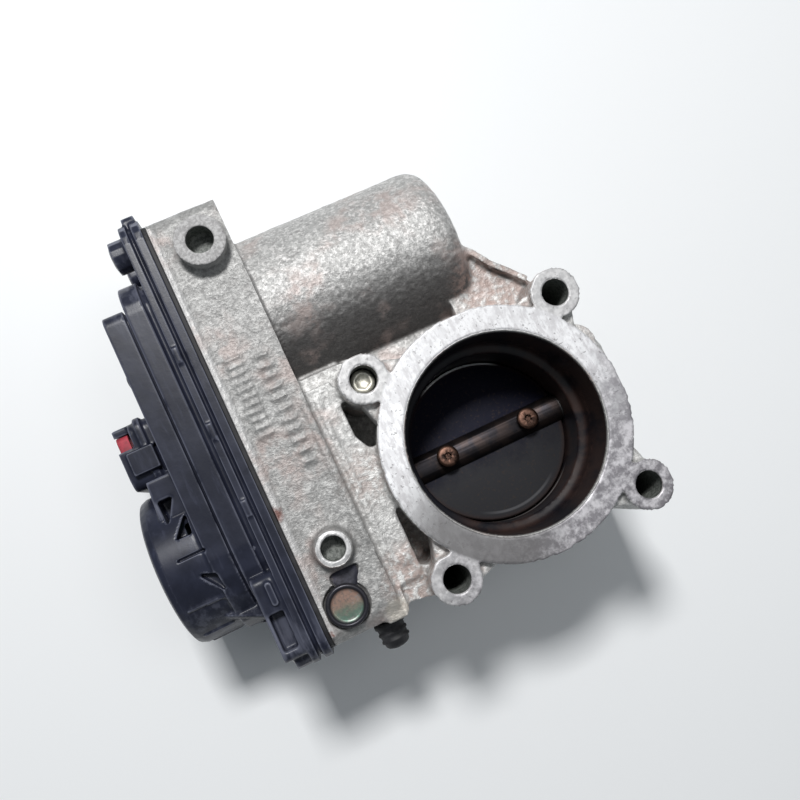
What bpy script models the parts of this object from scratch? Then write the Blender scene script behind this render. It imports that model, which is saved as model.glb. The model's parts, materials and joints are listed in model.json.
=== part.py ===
"""Electronic throttle body of a small petrol engine, as an assembly of separate parts.

All lengths are metres and all angles degrees. The design frame has its Z axis on the bore,
with Z = 0 on the engine-side face. +X runs along the throttle shaft, away from the gearbox
cover. +Y runs from the shaft towards the motor. One empty carries everything, and moves the
design frame so that the origin is under the middle of the whole assembly.
"""
import math

import bmesh
import bpy
from mathutils import Matrix, Vector

# Overall
HEIGHT = 0.058                  # engine face to air-inlet face
SHAFT_Z = 0.0295                # throttle shaft and motor share this height
BORE_SHIFT = (0.0261, -0.0258)  # bore axis in the finished frame
GAP = 0.0003                    # between pieces that touch
RUNNING_GAP = 0.0001            # between a shaft and its bearing

# Bore and flange ring
INLET_RADIUS = 0.0245
THROAT_RADIUS = 0.0220
OUTLET_RADIUS = 0.0235
THROAT_TOP = 0.0420
THROAT_BOTTOM = 0.0160
THROAT_TAPER = 0.0015
RING_RADIUS = 0.0313
BARREL_RADIUS = 0.0286
RING_DEPTH = 0.0085
BORE_SEGMENTS = 64

# Four bolt columns on a square, and two tapped bosses on top of the gear tray
COLUMN_OFFSET = 0.0260
COLUMN_RADIUS = 0.0063
COLUMN_HOLE = 0.0034
UPPER_BOSS = (-0.0474, 0.0728)
LOWER_BOSS = (-0.0492, -0.0071)
LOWER_BOSS_TOP = 0.0570

# Gear tray: a box open towards -X
TRAY_OPEN_X = -0.0584
TRAY_BACK_X = -0.0401
TRAY_FLOOR_X = -0.0430
TRAY_Y = (-0.0290, 0.0842)
TRAY_Z = (0.0015, 0.0535)
TRAY_CORNER = 0.0050
CAVITY_Y = (-0.0218, 0.0728)
CAVITY_Z = (0.0045, 0.0510)
CAVITY_CORNER = 0.0060

# Gears: module and teeth. The intermediate gear sits a little below the other two axes.
MODULE = 0.0008
SECTOR_TEETH = 50               # teeth of the full circle that the sector is part of
SMALL_TEETH = 16
LARGE_TEETH = 52
MOTOR_PINION_TEETH = 18
TOOTH_BACKLASH = 0.00022
ADDENDUM = 0.88                 # in modules
DEDENDUM = 1.15
PRESSURE_ANGLE = 20.0
INTERMEDIATE_DROP = 0.0025
FIRST_DISTANCE = MODULE * (SECTOR_TEETH + SMALL_TEETH) / 2
SECOND_DISTANCE = MODULE * (LARGE_TEETH + MOTOR_PINION_TEETH) / 2
INTERMEDIATE_Y = math.sqrt(FIRST_DISTANCE ** 2 - INTERMEDIATE_DROP ** 2)
INTERMEDIATE_Z = SHAFT_Z - INTERMEDIATE_DROP
MOTOR_Y = INTERMEDIATE_Y + math.sqrt(SECOND_DISTANCE ** 2 - INTERMEDIATE_DROP ** 2)
FIRST_MESH = -math.degrees(math.asin(INTERMEDIATE_DROP / FIRST_DISTANCE))
SECOND_MESH = math.degrees(math.asin(INTERMEDIATE_DROP / SECOND_DISTANCE))
SECTOR_SPAN = (-23.0, 92.0)     # of the sector at rest, from +Y towards +Z
SECTOR_X = (-0.0565, -0.0515)
LARGE_GEAR_X = (-0.0490, -0.0450)
SMALL_GEAR_X = (-0.0575, -0.0488)
MOTOR_PINION_X = (-0.0500, -0.0450)

# Motor
MOTOR_BARREL_RADIUS = 0.0224
MOTOR_BARREL_END_X = 0.0135
MOTOR_BARREL_CORNER = 0.0055
MOTOR_POCKET_RADIUS = 0.0180
MOTOR_POCKET_END_X = 0.0096
MOTOR_CAN_RADIUS = 0.0176
MOTOR_CAN_WALL = 0.0012
MOTOR_CAN_X = (-0.0415, 0.0075)
MOTOR_SHAFT_RADIUS = 0.0015
MOTOR_SCREW_ANGLE = 48.0
MOTOR_SCREW_REACH = 0.0202
TERMINAL_REACH = 0.0095         # of each terminal blade above or below the motor axis

# Throttle shaft, bearings and plate
SHAFT_RADIUS = 0.0040
SHAFT_X = (-0.0720, 0.0340)
BEARING_RADIUS = 0.0070
DRIVE_BOSS_RADIUS = 0.0110
FAR_BOSS_RADIUS = 0.0120
FAR_BOSS_X = 0.0378
PLATE_RADIUS = 0.0217
PLATE_THICKNESS = 0.0020
PLATE_REST_TILT = 6.0           # part-open position that the springs hold
PLATE_SCREW_X = 0.0120
HUB_RADIUS = 0.0075
HUB_X = (-0.0700, -0.0512)
COIL_STEPS = 14                 # tube segments in one turn of a spring

# Cover
COVER_Y = (-0.0302, 0.0862)
COVER_Z = (0.0006, 0.0544)
COVER_CORNER = 0.0062
COVER_FACE_X = -0.0594
COVER_LIP_X = -0.0616
COVER_GROOVE_X = -0.0628
COVER_FLANGE_X = -0.0646
NECK_X = -0.0664
PAN_X = -0.0712
PAN_Y = (-0.0195, 0.0735)
PAN_Z = (0.0055, 0.0518)
SLAB_X = -0.0773
SLAB_Y = (-0.0175, 0.0672)
SLAB_Z = (0.0080, 0.0500)
TOWER_Y = 0.0037
TOWER_RADIUS = 0.0200
TOWER_BORE = 0.0172
TOWER_X = -0.0900
CONNECTOR_X = -0.0880
CONNECTOR_Y = (0.0256, 0.0424)
CONNECTOR_Z = (0.0165, 0.0405)
CONNECTOR_WALL = 0.0018
BOARD_X = (-0.0783, -0.0771)
COVER_SCREW_Y = (-0.0258, 0.0800)
COVER_SCREW_Z = (0.0080, 0.0275, 0.0468)
SCREW_BOSS_X = -0.0686
STOP_SCREW = (-0.0535, -0.0090)
WALL_PLUG = (-0.0518, -0.0207)
SPIGOT = (-0.0445, 0.0420)      # X and Z of its axis

MATERIALS = {
    "cast_aluminium": ((0.56, 0.55, 0.53), 0.55, 0.85),
    "black_plastic": ((0.030, 0.033, 0.040), 0.45, 0.0),
    "gear_plastic": ((0.62, 0.60, 0.52), 0.50, 0.0),
    "steel": ((0.60, 0.60, 0.61), 0.35, 1.0),
    "spring_steel": ((0.34, 0.34, 0.36), 0.35, 1.0),
    "copper_plated": ((0.48, 0.25, 0.13), 0.45, 0.9),
    "brass": ((0.62, 0.46, 0.18), 0.35, 1.0),
    "dark_brass": ((0.10, 0.10, 0.10), 0.45, 0.6),
    "magnet": ((0.09, 0.09, 0.10), 0.60, 0.3),
    "black_rubber": ((0.018, 0.018, 0.020), 0.80, 0.0),
    "red_silicone": ((0.50, 0.05, 0.06), 0.60, 0.0),
    "circuit_board": ((0.04, 0.22, 0.10), 0.50, 0.0),
    "copper_winding": ((0.55, 0.26, 0.12), 0.40, 0.9),
}


# ---------------------------------------------------------------- scene and mesh helpers

def clear_scene():
    for obj in list(bpy.data.objects):
        bpy.data.objects.remove(obj)


def get_material(name):
    if name in bpy.data.materials:
        return bpy.data.materials[name]
    color, roughness, metallic = MATERIALS[name]
    material = bpy.data.materials.new(name)
    material.use_nodes = True
    shader = material.node_tree.nodes["Principled BSDF"]
    shader.inputs["Base Color"].default_value = (*color, 1.0)
    shader.inputs["Roughness"].default_value = roughness
    shader.inputs["Metallic"].default_value = metallic
    return material


def add_empty(name, location, parent=None):
    empty = bpy.data.objects.new(name, None)
    empty.location = location
    empty.parent = parent
    bpy.context.scene.collection.objects.link(empty)
    return empty


def solid_from_bmesh(bm):
    """Close the bmesh into a mesh object that faces outwards."""
    bmesh.ops.recalc_face_normals(bm, faces=bm.faces)
    mesh = bpy.data.meshes.new("solid")
    bm.to_mesh(mesh)
    bm.free()
    obj = bpy.data.objects.new("solid", mesh)
    bpy.context.scene.collection.objects.link(obj)
    return obj


def on_axis(axis, along, u, v):
    """Point from its distance along an axis and its two coordinates across it."""
    if axis == "X":
        return Vector((along, u, v))
    if axis == "Y":
        return Vector((u, along, v))
    return Vector((u, v, along))


def prism(outline, axis, start, end):
    """Straight solid with the given outline across one axis."""
    bm = bmesh.new()
    lower = [bm.verts.new(on_axis(axis, start, u, v)) for u, v in outline]
    upper = [bm.verts.new(on_axis(axis, end, u, v)) for u, v in outline]
    bm.faces.new(lower)
    bm.faces.new(upper)
    for i in range(len(outline)):
        j = (i + 1) % len(outline)
        bm.faces.new((lower[i], lower[j], upper[j], upper[i]))
    return solid_from_bmesh(bm)


def box(x, y, z):
    return prism([(x[0], y[0]), (x[1], y[0]), (x[1], y[1]), (x[0], y[1])], "Z", z[0], z[1])


def circle(centre, radius, segments):
    steps = [2 * math.pi * (i + 0.5) / segments for i in range(segments)]
    return [(centre[0] + radius * math.cos(a), centre[1] + radius * math.sin(a)) for a in steps]


def cylinder(axis, centre, radius, start, end, segments=32):
    return prism(circle(centre, radius, segments), axis, start, end)


def rounded_rectangle(u, v, radius, steps=5):
    corners = [(u[1], v[1], 0), (u[0], v[1], 90), (u[0], v[0], 180), (u[1], v[0], 270)]
    points = []
    for cu, cv, first in corners:
        side_u = 1 if cu == u[1] else -1
        side_v = 1 if cv == v[1] else -1
        for i in range(steps + 1):
            angle = math.radians(first + 90 * i / steps)
            points.append((cu - side_u * radius + radius * math.cos(angle),
                           cv - side_v * radius + radius * math.sin(angle)))
    return points


def rounded_block(x, y, z, radius):
    """Block whose four edges along X are rounded."""
    return prism(rounded_rectangle(y, z, radius), "X", x[0], x[1])


def turned(profile, axis, centre, segments=32):
    """Solid of revolution of a closed profile of (distance along the axis, radius) points."""
    bm = bmesh.new()
    rings = []
    for along, radius in profile:
        if radius < 1e-7:
            rings.append([bm.verts.new(on_axis(axis, along, *centre))])
        else:
            outline = circle(centre, radius, segments)
            rings.append([bm.verts.new(on_axis(axis, along, u, v)) for u, v in outline])
    for first, second in zip(rings, rings[1:] + rings[:1]):
        bridge_rings(bm, first, second, segments)
    return solid_from_bmesh(bm)


def bridge_rings(bm, first, second, segments):
    if len(first) == 1 and len(second) == 1:
        return
    for i in range(segments):
        j = (i + 1) % segments
        corners = [first[i % len(first)], first[j % len(first)],
                   second[j % len(second)], second[i % len(second)]]
        bm.faces.new(list(dict.fromkeys(corners)))


def combine(base, tool, operation, solver="EXACT"):
    """Apply one Boolean to the base and discard the tool."""
    modifier = base.modifiers.new("combine", "BOOLEAN")
    modifier.operation = operation
    modifier.object = tool
    modifier.solver = solver
    depsgraph = bpy.context.evaluated_depsgraph_get()
    result = bpy.data.meshes.new_from_object(base.evaluated_get(depsgraph))
    base.modifiers.clear()
    base.data = result
    bpy.data.objects.remove(tool)
    return base


def union(*solids, solver="EXACT"):
    base = solids[0]
    for tool in solids[1:]:
        combine(base, tool, "UNION", solver)
    return base


def cut(base, *tools, solver="EXACT"):
    for tool in tools:
        combine(base, tool, "DIFFERENCE", solver)
    return base


def finish(obj, name, material, parent, sharp_angle=32.0):
    """Name a solid, clean its seams, shade it and hang it on its parent."""
    obj.name = name
    obj.data.name = name
    bm = bmesh.new()
    bm.from_mesh(obj.data)
    bmesh.ops.remove_doubles(bm, verts=bm.verts, dist=2e-7)
    bmesh.ops.dissolve_degenerate(bm, edges=bm.edges, dist=1e-7)
    bm.to_mesh(obj.data)
    bm.free()
    obj.data.materials.clear()
    obj.data.materials.append(get_material(material))
    obj.data.shade_smooth()
    obj.data.set_sharp_from_angle(angle=math.radians(sharp_angle))
    obj.parent = parent
    return obj


def polar(radius, degrees):
    angle = math.radians(degrees)
    return radius * math.cos(angle), radius * math.sin(angle)


# ---------------------------------------------------------------- gears

def involute(angle):
    return math.tan(angle) - angle


def tooth_outline(teeth, centre_degrees):
    """One involute tooth as (radius, angle) points, from its left root to its right root."""
    pitch = MODULE * teeth / 2
    pressure = math.radians(PRESSURE_ANGLE)
    base = pitch * math.cos(pressure)
    root = pitch - DEDENDUM * MODULE
    tip = pitch + ADDENDUM * MODULE
    half_at_pitch = math.pi / (2 * teeth) - TOOTH_BACKLASH / (2 * pitch)
    start = max(base, root)
    flank = []
    spans = 2 if root < base else 1
    for step in range(spans + 1):
        radius = start + (tip - start) * step / spans
        rolled = math.acos(min(1.0, base / radius))
        flank.append((radius, half_at_pitch + involute(pressure) - involute(rolled)))
    if root < base:
        flank.insert(0, (root, flank[0][1] * 0.85))
    centre = math.radians(centre_degrees)
    left = [(radius, centre - half) for radius, half in flank]
    right = [(radius, centre + half) for radius, half in reversed(flank)]
    return left + right


def gear_outline(centre, teeth, first_degrees):
    points = []
    for i in range(teeth):
        for radius, angle in tooth_outline(teeth, first_degrees + 360 * i / teeth):
            points.append((centre[0] + radius * math.cos(angle), centre[1] + radius * math.sin(angle)))
    return points


def sector_outline():
    """Toothed fan of the sector gear about the shaft, closed through the shaft's centre."""
    root = MODULE * SECTOR_TEETH / 2 - DEDENDUM * MODULE
    pitch_degrees = 360 / SECTOR_TEETH
    first = math.ceil((SECTOR_SPAN[0] - FIRST_MESH) / pitch_degrees + 0.5)
    last = math.floor((SECTOR_SPAN[1] - FIRST_MESH) / pitch_degrees - 0.5)
    points = [(0.0, 0.0), polar(root, SECTOR_SPAN[0])]
    for i in range(first, last + 1):
        for radius, angle in tooth_outline(SECTOR_TEETH, FIRST_MESH + i * pitch_degrees):
            points.append((radius * math.cos(angle), radius * math.sin(angle)))
    points.append(polar(root, SECTOR_SPAN[1]))
    return [(u, v + SHAFT_Z) for u, v in points]


# ---------------------------------------------------------------- housing

def ring_and_barrel():
    return turned([
        (0.0, OUTLET_RADIUS - 0.004),
        (0.0, RING_RADIUS),
        (RING_DEPTH, RING_RADIUS),
        (RING_DEPTH + 0.002, BARREL_RADIUS),
        (HEIGHT - RING_DEPTH - 0.002, BARREL_RADIUS),
        (HEIGHT - RING_DEPTH, RING_RADIUS),
        (HEIGHT, RING_RADIUS),
        (HEIGHT, OUTLET_RADIUS - 0.004),
    ], "Z", (0, 0), BORE_SEGMENTS)


def bore_cutter():
    return turned([
        (-0.001, 0.0),
        (-0.001, OUTLET_RADIUS),
        (THROAT_BOTTOM - THROAT_TAPER, OUTLET_RADIUS),
        (THROAT_BOTTOM, THROAT_RADIUS),
        (THROAT_TOP, THROAT_RADIUS),
        (THROAT_TOP + THROAT_TAPER, INLET_RADIUS - 0.0002),
        (HEIGHT - 0.0007, INLET_RADIUS),
        (HEIGHT + 0.001, INLET_RADIUS + 0.0017),
        (HEIGHT + 0.001, 0.0),
    ], "Z", (0, 0), BORE_SEGMENTS)


def bolt_column(x, y, start=0.0):
    return cylinder("Z", (x, y), COLUMN_RADIUS, start, HEIGHT, 20)


def column_web(side_x, side_y, start, end):
    """Tangent web between the ring and one corner column."""
    column = Vector((side_x, side_y)) * COLUMN_OFFSET
    outward = column.normalized()
    across = Vector((-outward.y, outward.x))
    inner = outward * (INLET_RADIUS + 0.002)
    outline = [inner - across * 0.0105, column - across * 0.0052,
               column + across * 0.0052, inner + across * 0.0105]
    return prism([(p.x, p.y) for p in outline], "Z", start, end)


def corner_columns():
    solids = []
    for side_x in (-1, 1):
        for side_y in (-1, 1):
            solids.append(bolt_column(side_x * COLUMN_OFFSET, side_y * COLUMN_OFFSET))
            solids.append(column_web(side_x, side_y, 0.0012, 0.0080))
            solids.append(column_web(side_x, side_y, HEIGHT - 0.0110, HEIGHT - 0.0022))
    return solids


def motor_barrel():
    steps = 5
    profile = [(TRAY_FLOOR_X, 0.0), (TRAY_FLOOR_X, MOTOR_BARREL_RADIUS)]
    for step in range(steps + 1):
        u, v = polar(MOTOR_BARREL_CORNER, 90 - 90 * step / steps)
        profile.append((MOTOR_BARREL_END_X - MOTOR_BARREL_CORNER + u,
                        MOTOR_BARREL_RADIUS - MOTOR_BARREL_CORNER + v))
    profile.append((MOTOR_BARREL_END_X, 0.0))
    return turned(profile, "X", (MOTOR_Y, SHAFT_Z), 40)


def tray_block():
    return rounded_block((TRAY_OPEN_X, TRAY_BACK_X), TRAY_Y, TRAY_Z, TRAY_CORNER)


def tray_shoulder():
    """Ledge along the back of the tray, just below its top, with a bulge that reaches the ring."""
    outline = [(-0.0440, -0.0225), (-0.0325, -0.0225), (-0.0317, -0.0205), (-0.0317, 0.0050),
               (-0.0290, 0.0086), (-0.0290, 0.0104), (-0.0310, 0.0112), (-0.0328, 0.0150),
               (-0.0330, 0.0300), (-0.0440, 0.0300)]
    return prism(outline, "Z", 0.0200, 0.0508)


def pocket_floor():
    """Casting between the tray and the bore barrel, deep below the ledge."""
    return box((-0.0420, -0.0250), (-0.0215, 0.0250), (0.0150, 0.0290))


def motor_saddle():
    """Flat-topped casting between the tray, the motor barrel and the nearest column."""
    outline = [(-0.0410, 0.0230), (-0.0300, 0.0230), (-0.0240, 0.0262),
               (-0.0235, 0.0330), (-0.0300, 0.0342), (-0.0410, 0.0342)]
    return prism(outline, "Z", 0.0180, 0.0440)


def barrel_web():
    """Plain web that ties the motor barrel to the bore barrel."""
    outline = [(-0.0250, 0.0240), (0.0080, 0.0240), (0.0080, 0.0390), (-0.0250, 0.0390)]
    return prism(outline, "Z", 0.0200, 0.0390)


def inlet_web():
    """Flat web between the end of the motor barrel and the nearest inlet column."""
    outline = [(0.0040, 0.0240), (0.0040, 0.0498), (0.0112, 0.0498), (0.0150, 0.0460),
               (0.0182, 0.0412), (0.0220, 0.0372), (0.0300, 0.0300), (0.0240, 0.0200)]
    return prism(outline, "Z", 0.0330, 0.0440)


def web_rib():
    """Raised edge along the outside of the inlet web."""
    outline = [(0.0060, 0.0505), (0.0116, 0.0505), (0.0156, 0.0464), (0.0188, 0.0416),
               (0.0226, 0.0376), (0.0258, 0.0340), (0.0244, 0.0326), (0.0212, 0.0362),
               (0.0172, 0.0402), (0.0140, 0.0450), (0.0104, 0.0486), (0.0060, 0.0486)]
    return prism(outline, "Z", 0.0350, 0.0466)


def side_lobe():
    """Rounded lobe on the barrel below the inlet ring."""
    return turned([
        (0.0260, 0.0), (0.0260, 0.0070), (0.0290, 0.0088), (0.0455, 0.0088),
        (0.0475, 0.0068), (0.0475, 0.0),
    ], "Z", (0.0268, 0.0088), 20)


def shaft_bosses():
    drive = cylinder("X", (0, SHAFT_Z), DRIVE_BOSS_RADIUS, -0.0425, -0.0235, 24)
    far = cylinder("X", (0, SHAFT_Z), FAR_BOSS_RADIUS, 0.0235, FAR_BOSS_X, 28)
    return [drive, far]


def tray_bosses():
    upper = bolt_column(*UPPER_BOSS, start=0.0520)
    lower = turned([
        (0.0510, 0.0), (0.0510, 0.0053), (LOWER_BOSS_TOP - 0.0006, 0.0049),
        (LOWER_BOSS_TOP, 0.0044), (LOWER_BOSS_TOP, 0.0),
    ], "Z", LOWER_BOSS, 20)
    return [upper, lower]


def lower_lugs():
    """Lug and cap spigot at the tray's lower end, and the rib from there to the nearest column."""
    lug = box((-0.0462, -0.0385), (-0.0284, -0.0225), (0.0340, 0.0520))
    spigot = cylinder("Y", SPIGOT, 0.0021, -0.0340, -0.0280, 20)
    rib = prism([(-0.0400, -0.0270), (-0.0230, -0.0300), (-0.0210, -0.0240), (-0.0340, -0.0190)],
                "Z", 0.0200, 0.0500)
    return [lug, spigot, rib]


def housing_cutters():
    cavity = rounded_rectangle(CAVITY_Y, CAVITY_Z, CAVITY_CORNER)
    tools = [bore_cutter(), prism(cavity, "X", TRAY_OPEN_X - 0.001, TRAY_FLOOR_X)]
    tools.append(cylinder("X", (MOTOR_Y, SHAFT_Z), MOTOR_POCKET_RADIUS, -0.0440, MOTOR_POCKET_END_X, 36))
    for side_x in (-1, 1):
        for side_y in (-1, 1):
            centre = (side_x * COLUMN_OFFSET, side_y * COLUMN_OFFSET)
            tools.append(cylinder("Z", centre, COLUMN_HOLE, -0.001, HEIGHT + 0.001, 16))
    tools.append(cylinder("Z", UPPER_BOSS, COLUMN_HOLE, 0.0518, HEIGHT + 0.001, 16))
    tools.append(cylinder("Z", LOWER_BOSS, 0.0030, 0.0520, LOWER_BOSS_TOP + 0.001, 16))
    return tools + shaft_hole_cutters() + small_hole_cutters()


def shaft_hole_cutters():
    axis = (0, SHAFT_Z)
    pocket = BEARING_RADIUS + GAP
    through = cylinder("X", axis, SHAFT_RADIUS + GAP, -0.0440, 0.0300, 24)
    drive = cylinder("X", axis, pocket, -0.0440, -0.0312, 24)
    far = cylinder("X", axis, pocket, 0.0268, 0.0390, 24)
    plug_seat = cylinder("X", axis, 0.0092, 0.0355, 0.0390, 28)
    return [through, drive, far, plug_seat]


def small_hole_cutters():
    tools = []
    for y, z in cover_screw_positions():
        tools.append(cylinder("X", (y, z), 0.0017, TRAY_OPEN_X - 0.001, -0.0480, 12))
    for centre in motor_screw_positions():
        tools.append(cylinder("X", centre, 0.0013, -0.0440, -0.0370, 12))
    tools.append(cylinder("X", (INTERMEDIATE_Y, INTERMEDIATE_Z), 0.0019, -0.0440, -0.0380, 16))
    tools.append(cylinder("Z", WALL_PLUG, 0.0055, 0.0521, 0.0560, 20))
    tools.append(prism([(-0.0530, -0.0150), (-0.0482, -0.0172), (-0.0452, -0.0128), (-0.0528, -0.0128)],
                       "Z", 0.0521, 0.0560))
    tools.append(cylinder("Z", STOP_SCREW, 0.0018, 0.0000, 0.0090, 12))
    tools.append(cylinder("Y", SPIGOT, 0.0010, -0.0350, -0.0275, 12))
    return tools


def cover_screw_positions():
    return [(y, z) for y in COVER_SCREW_Y for z in COVER_SCREW_Z]


def motor_screw_positions():
    offsets = [polar(MOTOR_SCREW_REACH, side * MOTOR_SCREW_ANGLE) for side in (-1, 1)]
    return [(MOTOR_Y + u, SHAFT_Z + v) for u, v in offsets]


def make_housing(root):
    solids = [ring_and_barrel()] + corner_columns()
    solids += [tray_block(), tray_shoulder(), pocket_floor(), motor_barrel(), motor_saddle(), barrel_web()]
    solids += [inlet_web(), web_rib(), side_lobe()] + shaft_bosses() + tray_bosses() + lower_lugs()
    casting = cut(union(*solids, solver="MANIFOLD"), *housing_cutters(), solver="MANIFOLD")
    finish(casting, "throttle_housing", "cast_aluminium", root)


# ---------------------------------------------------------------- cover

def shrink(span, amount):
    return span[0] + amount, span[1] - amount


def cover_rim():
    """Stepped rim: two lips with a groove between them, and the neck that carries the pan."""
    lip = rounded_block((COVER_LIP_X, COVER_FACE_X), COVER_Y, COVER_Z, COVER_CORNER)
    groove = rounded_block((COVER_GROOVE_X - GAP, COVER_LIP_X + GAP),
                           shrink(COVER_Y, 0.0012), shrink(COVER_Z, 0.0012), COVER_CORNER - 0.0008)
    flange = rounded_block((COVER_FLANGE_X, COVER_GROOVE_X), COVER_Y, COVER_Z, COVER_CORNER)
    neck = lobed_block((NECK_X - GAP, COVER_FLANGE_X + GAP), shrink(PAN_Y, 0.0010), shrink(PAN_Z, 0.0010))
    return [lip, groove, flange, neck]


def lobed_block(x, y, z, upper_corner=0.0090):
    """Block with a wide round end about the sensor tower and tighter corners at the motor end."""
    lower_corner = (z[1] - z[0]) / 2 - 0.0012
    return prism(lobed_outline(y, z, lower_corner, upper_corner), "X", x[0], x[1])


def lobed_outline(y, z, lower_corner, upper_corner, steps=6):
    corners = [(y[1], z[1], 1, 1, 0, upper_corner), (y[0], z[1], -1, 1, 90, lower_corner),
               (y[0], z[0], -1, -1, 180, lower_corner), (y[1], z[0], 1, -1, 270, upper_corner)]
    points = []
    for corner_y, corner_z, side_y, side_z, first, radius in corners:
        for i in range(steps + 1):
            u, v = polar(radius, first + 90 * i / steps)
            points.append((corner_y - side_y * radius + u, corner_z - side_z * radius + v))
    return points


def cover_pan():
    """Two stepped levels, with a shallow line between them."""
    pan = lobed_block((PAN_X, NECK_X), PAN_Y, PAN_Z)
    line = lobed_block((PAN_X - 0.0008 - GAP, PAN_X + GAP), shrink(SLAB_Y, 0.0009), shrink(SLAB_Z, 0.0009),
                       0.0030)
    slab = lobed_block((SLAB_X, PAN_X - 0.0008), SLAB_Y, SLAB_Z, 0.0030)
    return [pan, line, slab]


def sensor_tower():
    return turned([
        (SLAB_X + 0.0010, 0.0), (SLAB_X + 0.0010, TOWER_RADIUS), (TOWER_X + 0.0020, TOWER_RADIUS),
        (TOWER_X + 0.0006, TOWER_RADIUS - 0.0006), (TOWER_X, TOWER_RADIUS - 0.0020), (TOWER_X, 0.0),
    ], "X", (TOWER_Y, SHAFT_Z), 44)


def tower_web():
    """Wedge that joins the tower and the connector to the slab."""
    outline = [(SLAB_X + 0.0010, 0.0060), (-0.0860, 0.0060), (-0.0846, 0.0170),
               (-0.0840, 0.0262), (SLAB_X + 0.0010, 0.0262)]
    return prism(outline, "Z", 0.0140, 0.0455)


def tower_gussets():
    """Triangular plates that brace the side of the tower facing away from the connector."""
    return [gusset(degrees, reach) for degrees, reach in ((140, 0.0090), (180, 0.0050), (220, 0.0090))]


def gusset(degrees, reach):
    inner = Vector(polar(TOWER_RADIUS - 0.0015, degrees))
    outer = Vector(polar(TOWER_RADIUS + reach, degrees))
    across = Vector(polar(0.0008, degrees + 90))
    foot = COVER_FLANGE_X + 0.0004
    bm = bmesh.new()
    layers = []
    for side in (-1, 1):
        corners = [(foot, inner), (TOWER_X + 0.0070, inner), (foot, outer)]
        layers.append([bm.verts.new((x, TOWER_Y + p.x + side * across.x, SHAFT_Z + p.y + side * across.y))
                       for x, p in corners])
    bm.faces.new(layers[0])
    bm.faces.new(layers[1])
    for i in range(3):
        j = (i + 1) % 3
        bm.faces.new((layers[0][i], layers[0][j], layers[1][j], layers[1][i]))
    return solid_from_bmesh(bm)


def connector_shroud():
    body = rounded_block((CONNECTOR_X, SLAB_X + 0.0008), CONNECTOR_Y, CONNECTOR_Z, 0.0030)
    collar = rounded_block((CONNECTOR_X + 0.0060, CONNECTOR_X + 0.0078),
                           (CONNECTOR_Y[0], CONNECTOR_Y[1] + 0.0008),
                           (CONNECTOR_Z[0] - 0.0008, CONNECTOR_Z[1] + 0.0008), 0.0032)
    latch = box((-0.0862, SLAB_X + 0.0005), (0.0290, 0.0350), (CONNECTOR_Z[1] - 0.0006, CONNECTOR_Z[1] + 0.0020))
    return [body, collar, latch]


def cover_end_features():
    """Screw bosses along both ends, the channel blocks and the prising tab."""
    start = COVER_FLANGE_X + GAP
    solids = [rounded_block((-0.0703, start), (-0.0268, -0.0057), (0.0395, 0.0540), 0.0020)]
    solids.append(rounded_block((-0.0703, start), (-0.0268, -0.0140), (0.0010, 0.0160), 0.0020))
    solids.append(rounded_block((-0.0632, -0.0600), (0.0800, 0.0882), (0.0400, 0.0500), 0.0015))
    for y, z in cover_screw_positions():
        solids.append(cylinder("X", (y, z), 0.0043, SCREW_BOSS_X, COVER_FLANGE_X + GAP, 16))
    return solids


def cover_hollows():
    axis = (TOWER_Y, SHAFT_Z)
    cavity = rounded_rectangle(shrink(CAVITY_Y, 0.0006), shrink(CAVITY_Z, 0.0006), CAVITY_CORNER)
    hollows = [prism(cavity, "X", COVER_FLANGE_X + 0.0012, COVER_FACE_X + 0.001)]
    hollows.append(lobed_block((PAN_X + 0.0016, COVER_FLANGE_X + 0.002), shrink(PAN_Y, 0.0036),
                               shrink(PAN_Z, 0.0036), 0.0060))
    hollows.append(lobed_block((SLAB_X + 0.0024, PAN_X + 0.0020), shrink(SLAB_Y, 0.0034),
                               shrink(SLAB_Z, 0.0034), 0.0030))
    hollows.append(cylinder("X", axis, TOWER_BORE, -0.0800, -0.0740, 36))
    hollows.append(cylinder("X", axis, 0.0160, TOWER_X - 0.001, -0.0840, 36))
    hollows.append(rounded_block((CONNECTOR_X - 0.001, -0.0790), shrink(CONNECTOR_Y, CONNECTOR_WALL),
                                 shrink(CONNECTOR_Z, CONNECTOR_WALL), 0.0018))
    return hollows


def connector_pin_positions():
    middle_y = sum(CONNECTOR_Y) / 2
    middle_z = sum(CONNECTOR_Z) / 2
    positions = []
    for row in (-1, 1):
        for column in (-1, 0, 1):
            positions.append((middle_y + row * 0.0032, middle_z + column * 0.0056))
    return positions


def cover_holes():
    tools = []
    for y, z in cover_screw_positions():
        tools.append(cylinder("X", (y, z), 0.0019, -0.0800, COVER_FACE_X + 0.001, 12))
        tools.append(cylinder("X", (y, z), 0.0037, -0.0800, -0.0668, 16))
    for y, z in connector_pin_positions():
        tools.append(box((-0.0800, -0.0690), (y - 0.0009, y + 0.0009), (z - 0.0006, z + 0.0006)))
    tools.append(cylinder("X", (INTERMEDIATE_Y, INTERMEDIATE_Z), 0.0019, -0.0650, -0.0570, 16))
    return tools


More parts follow.
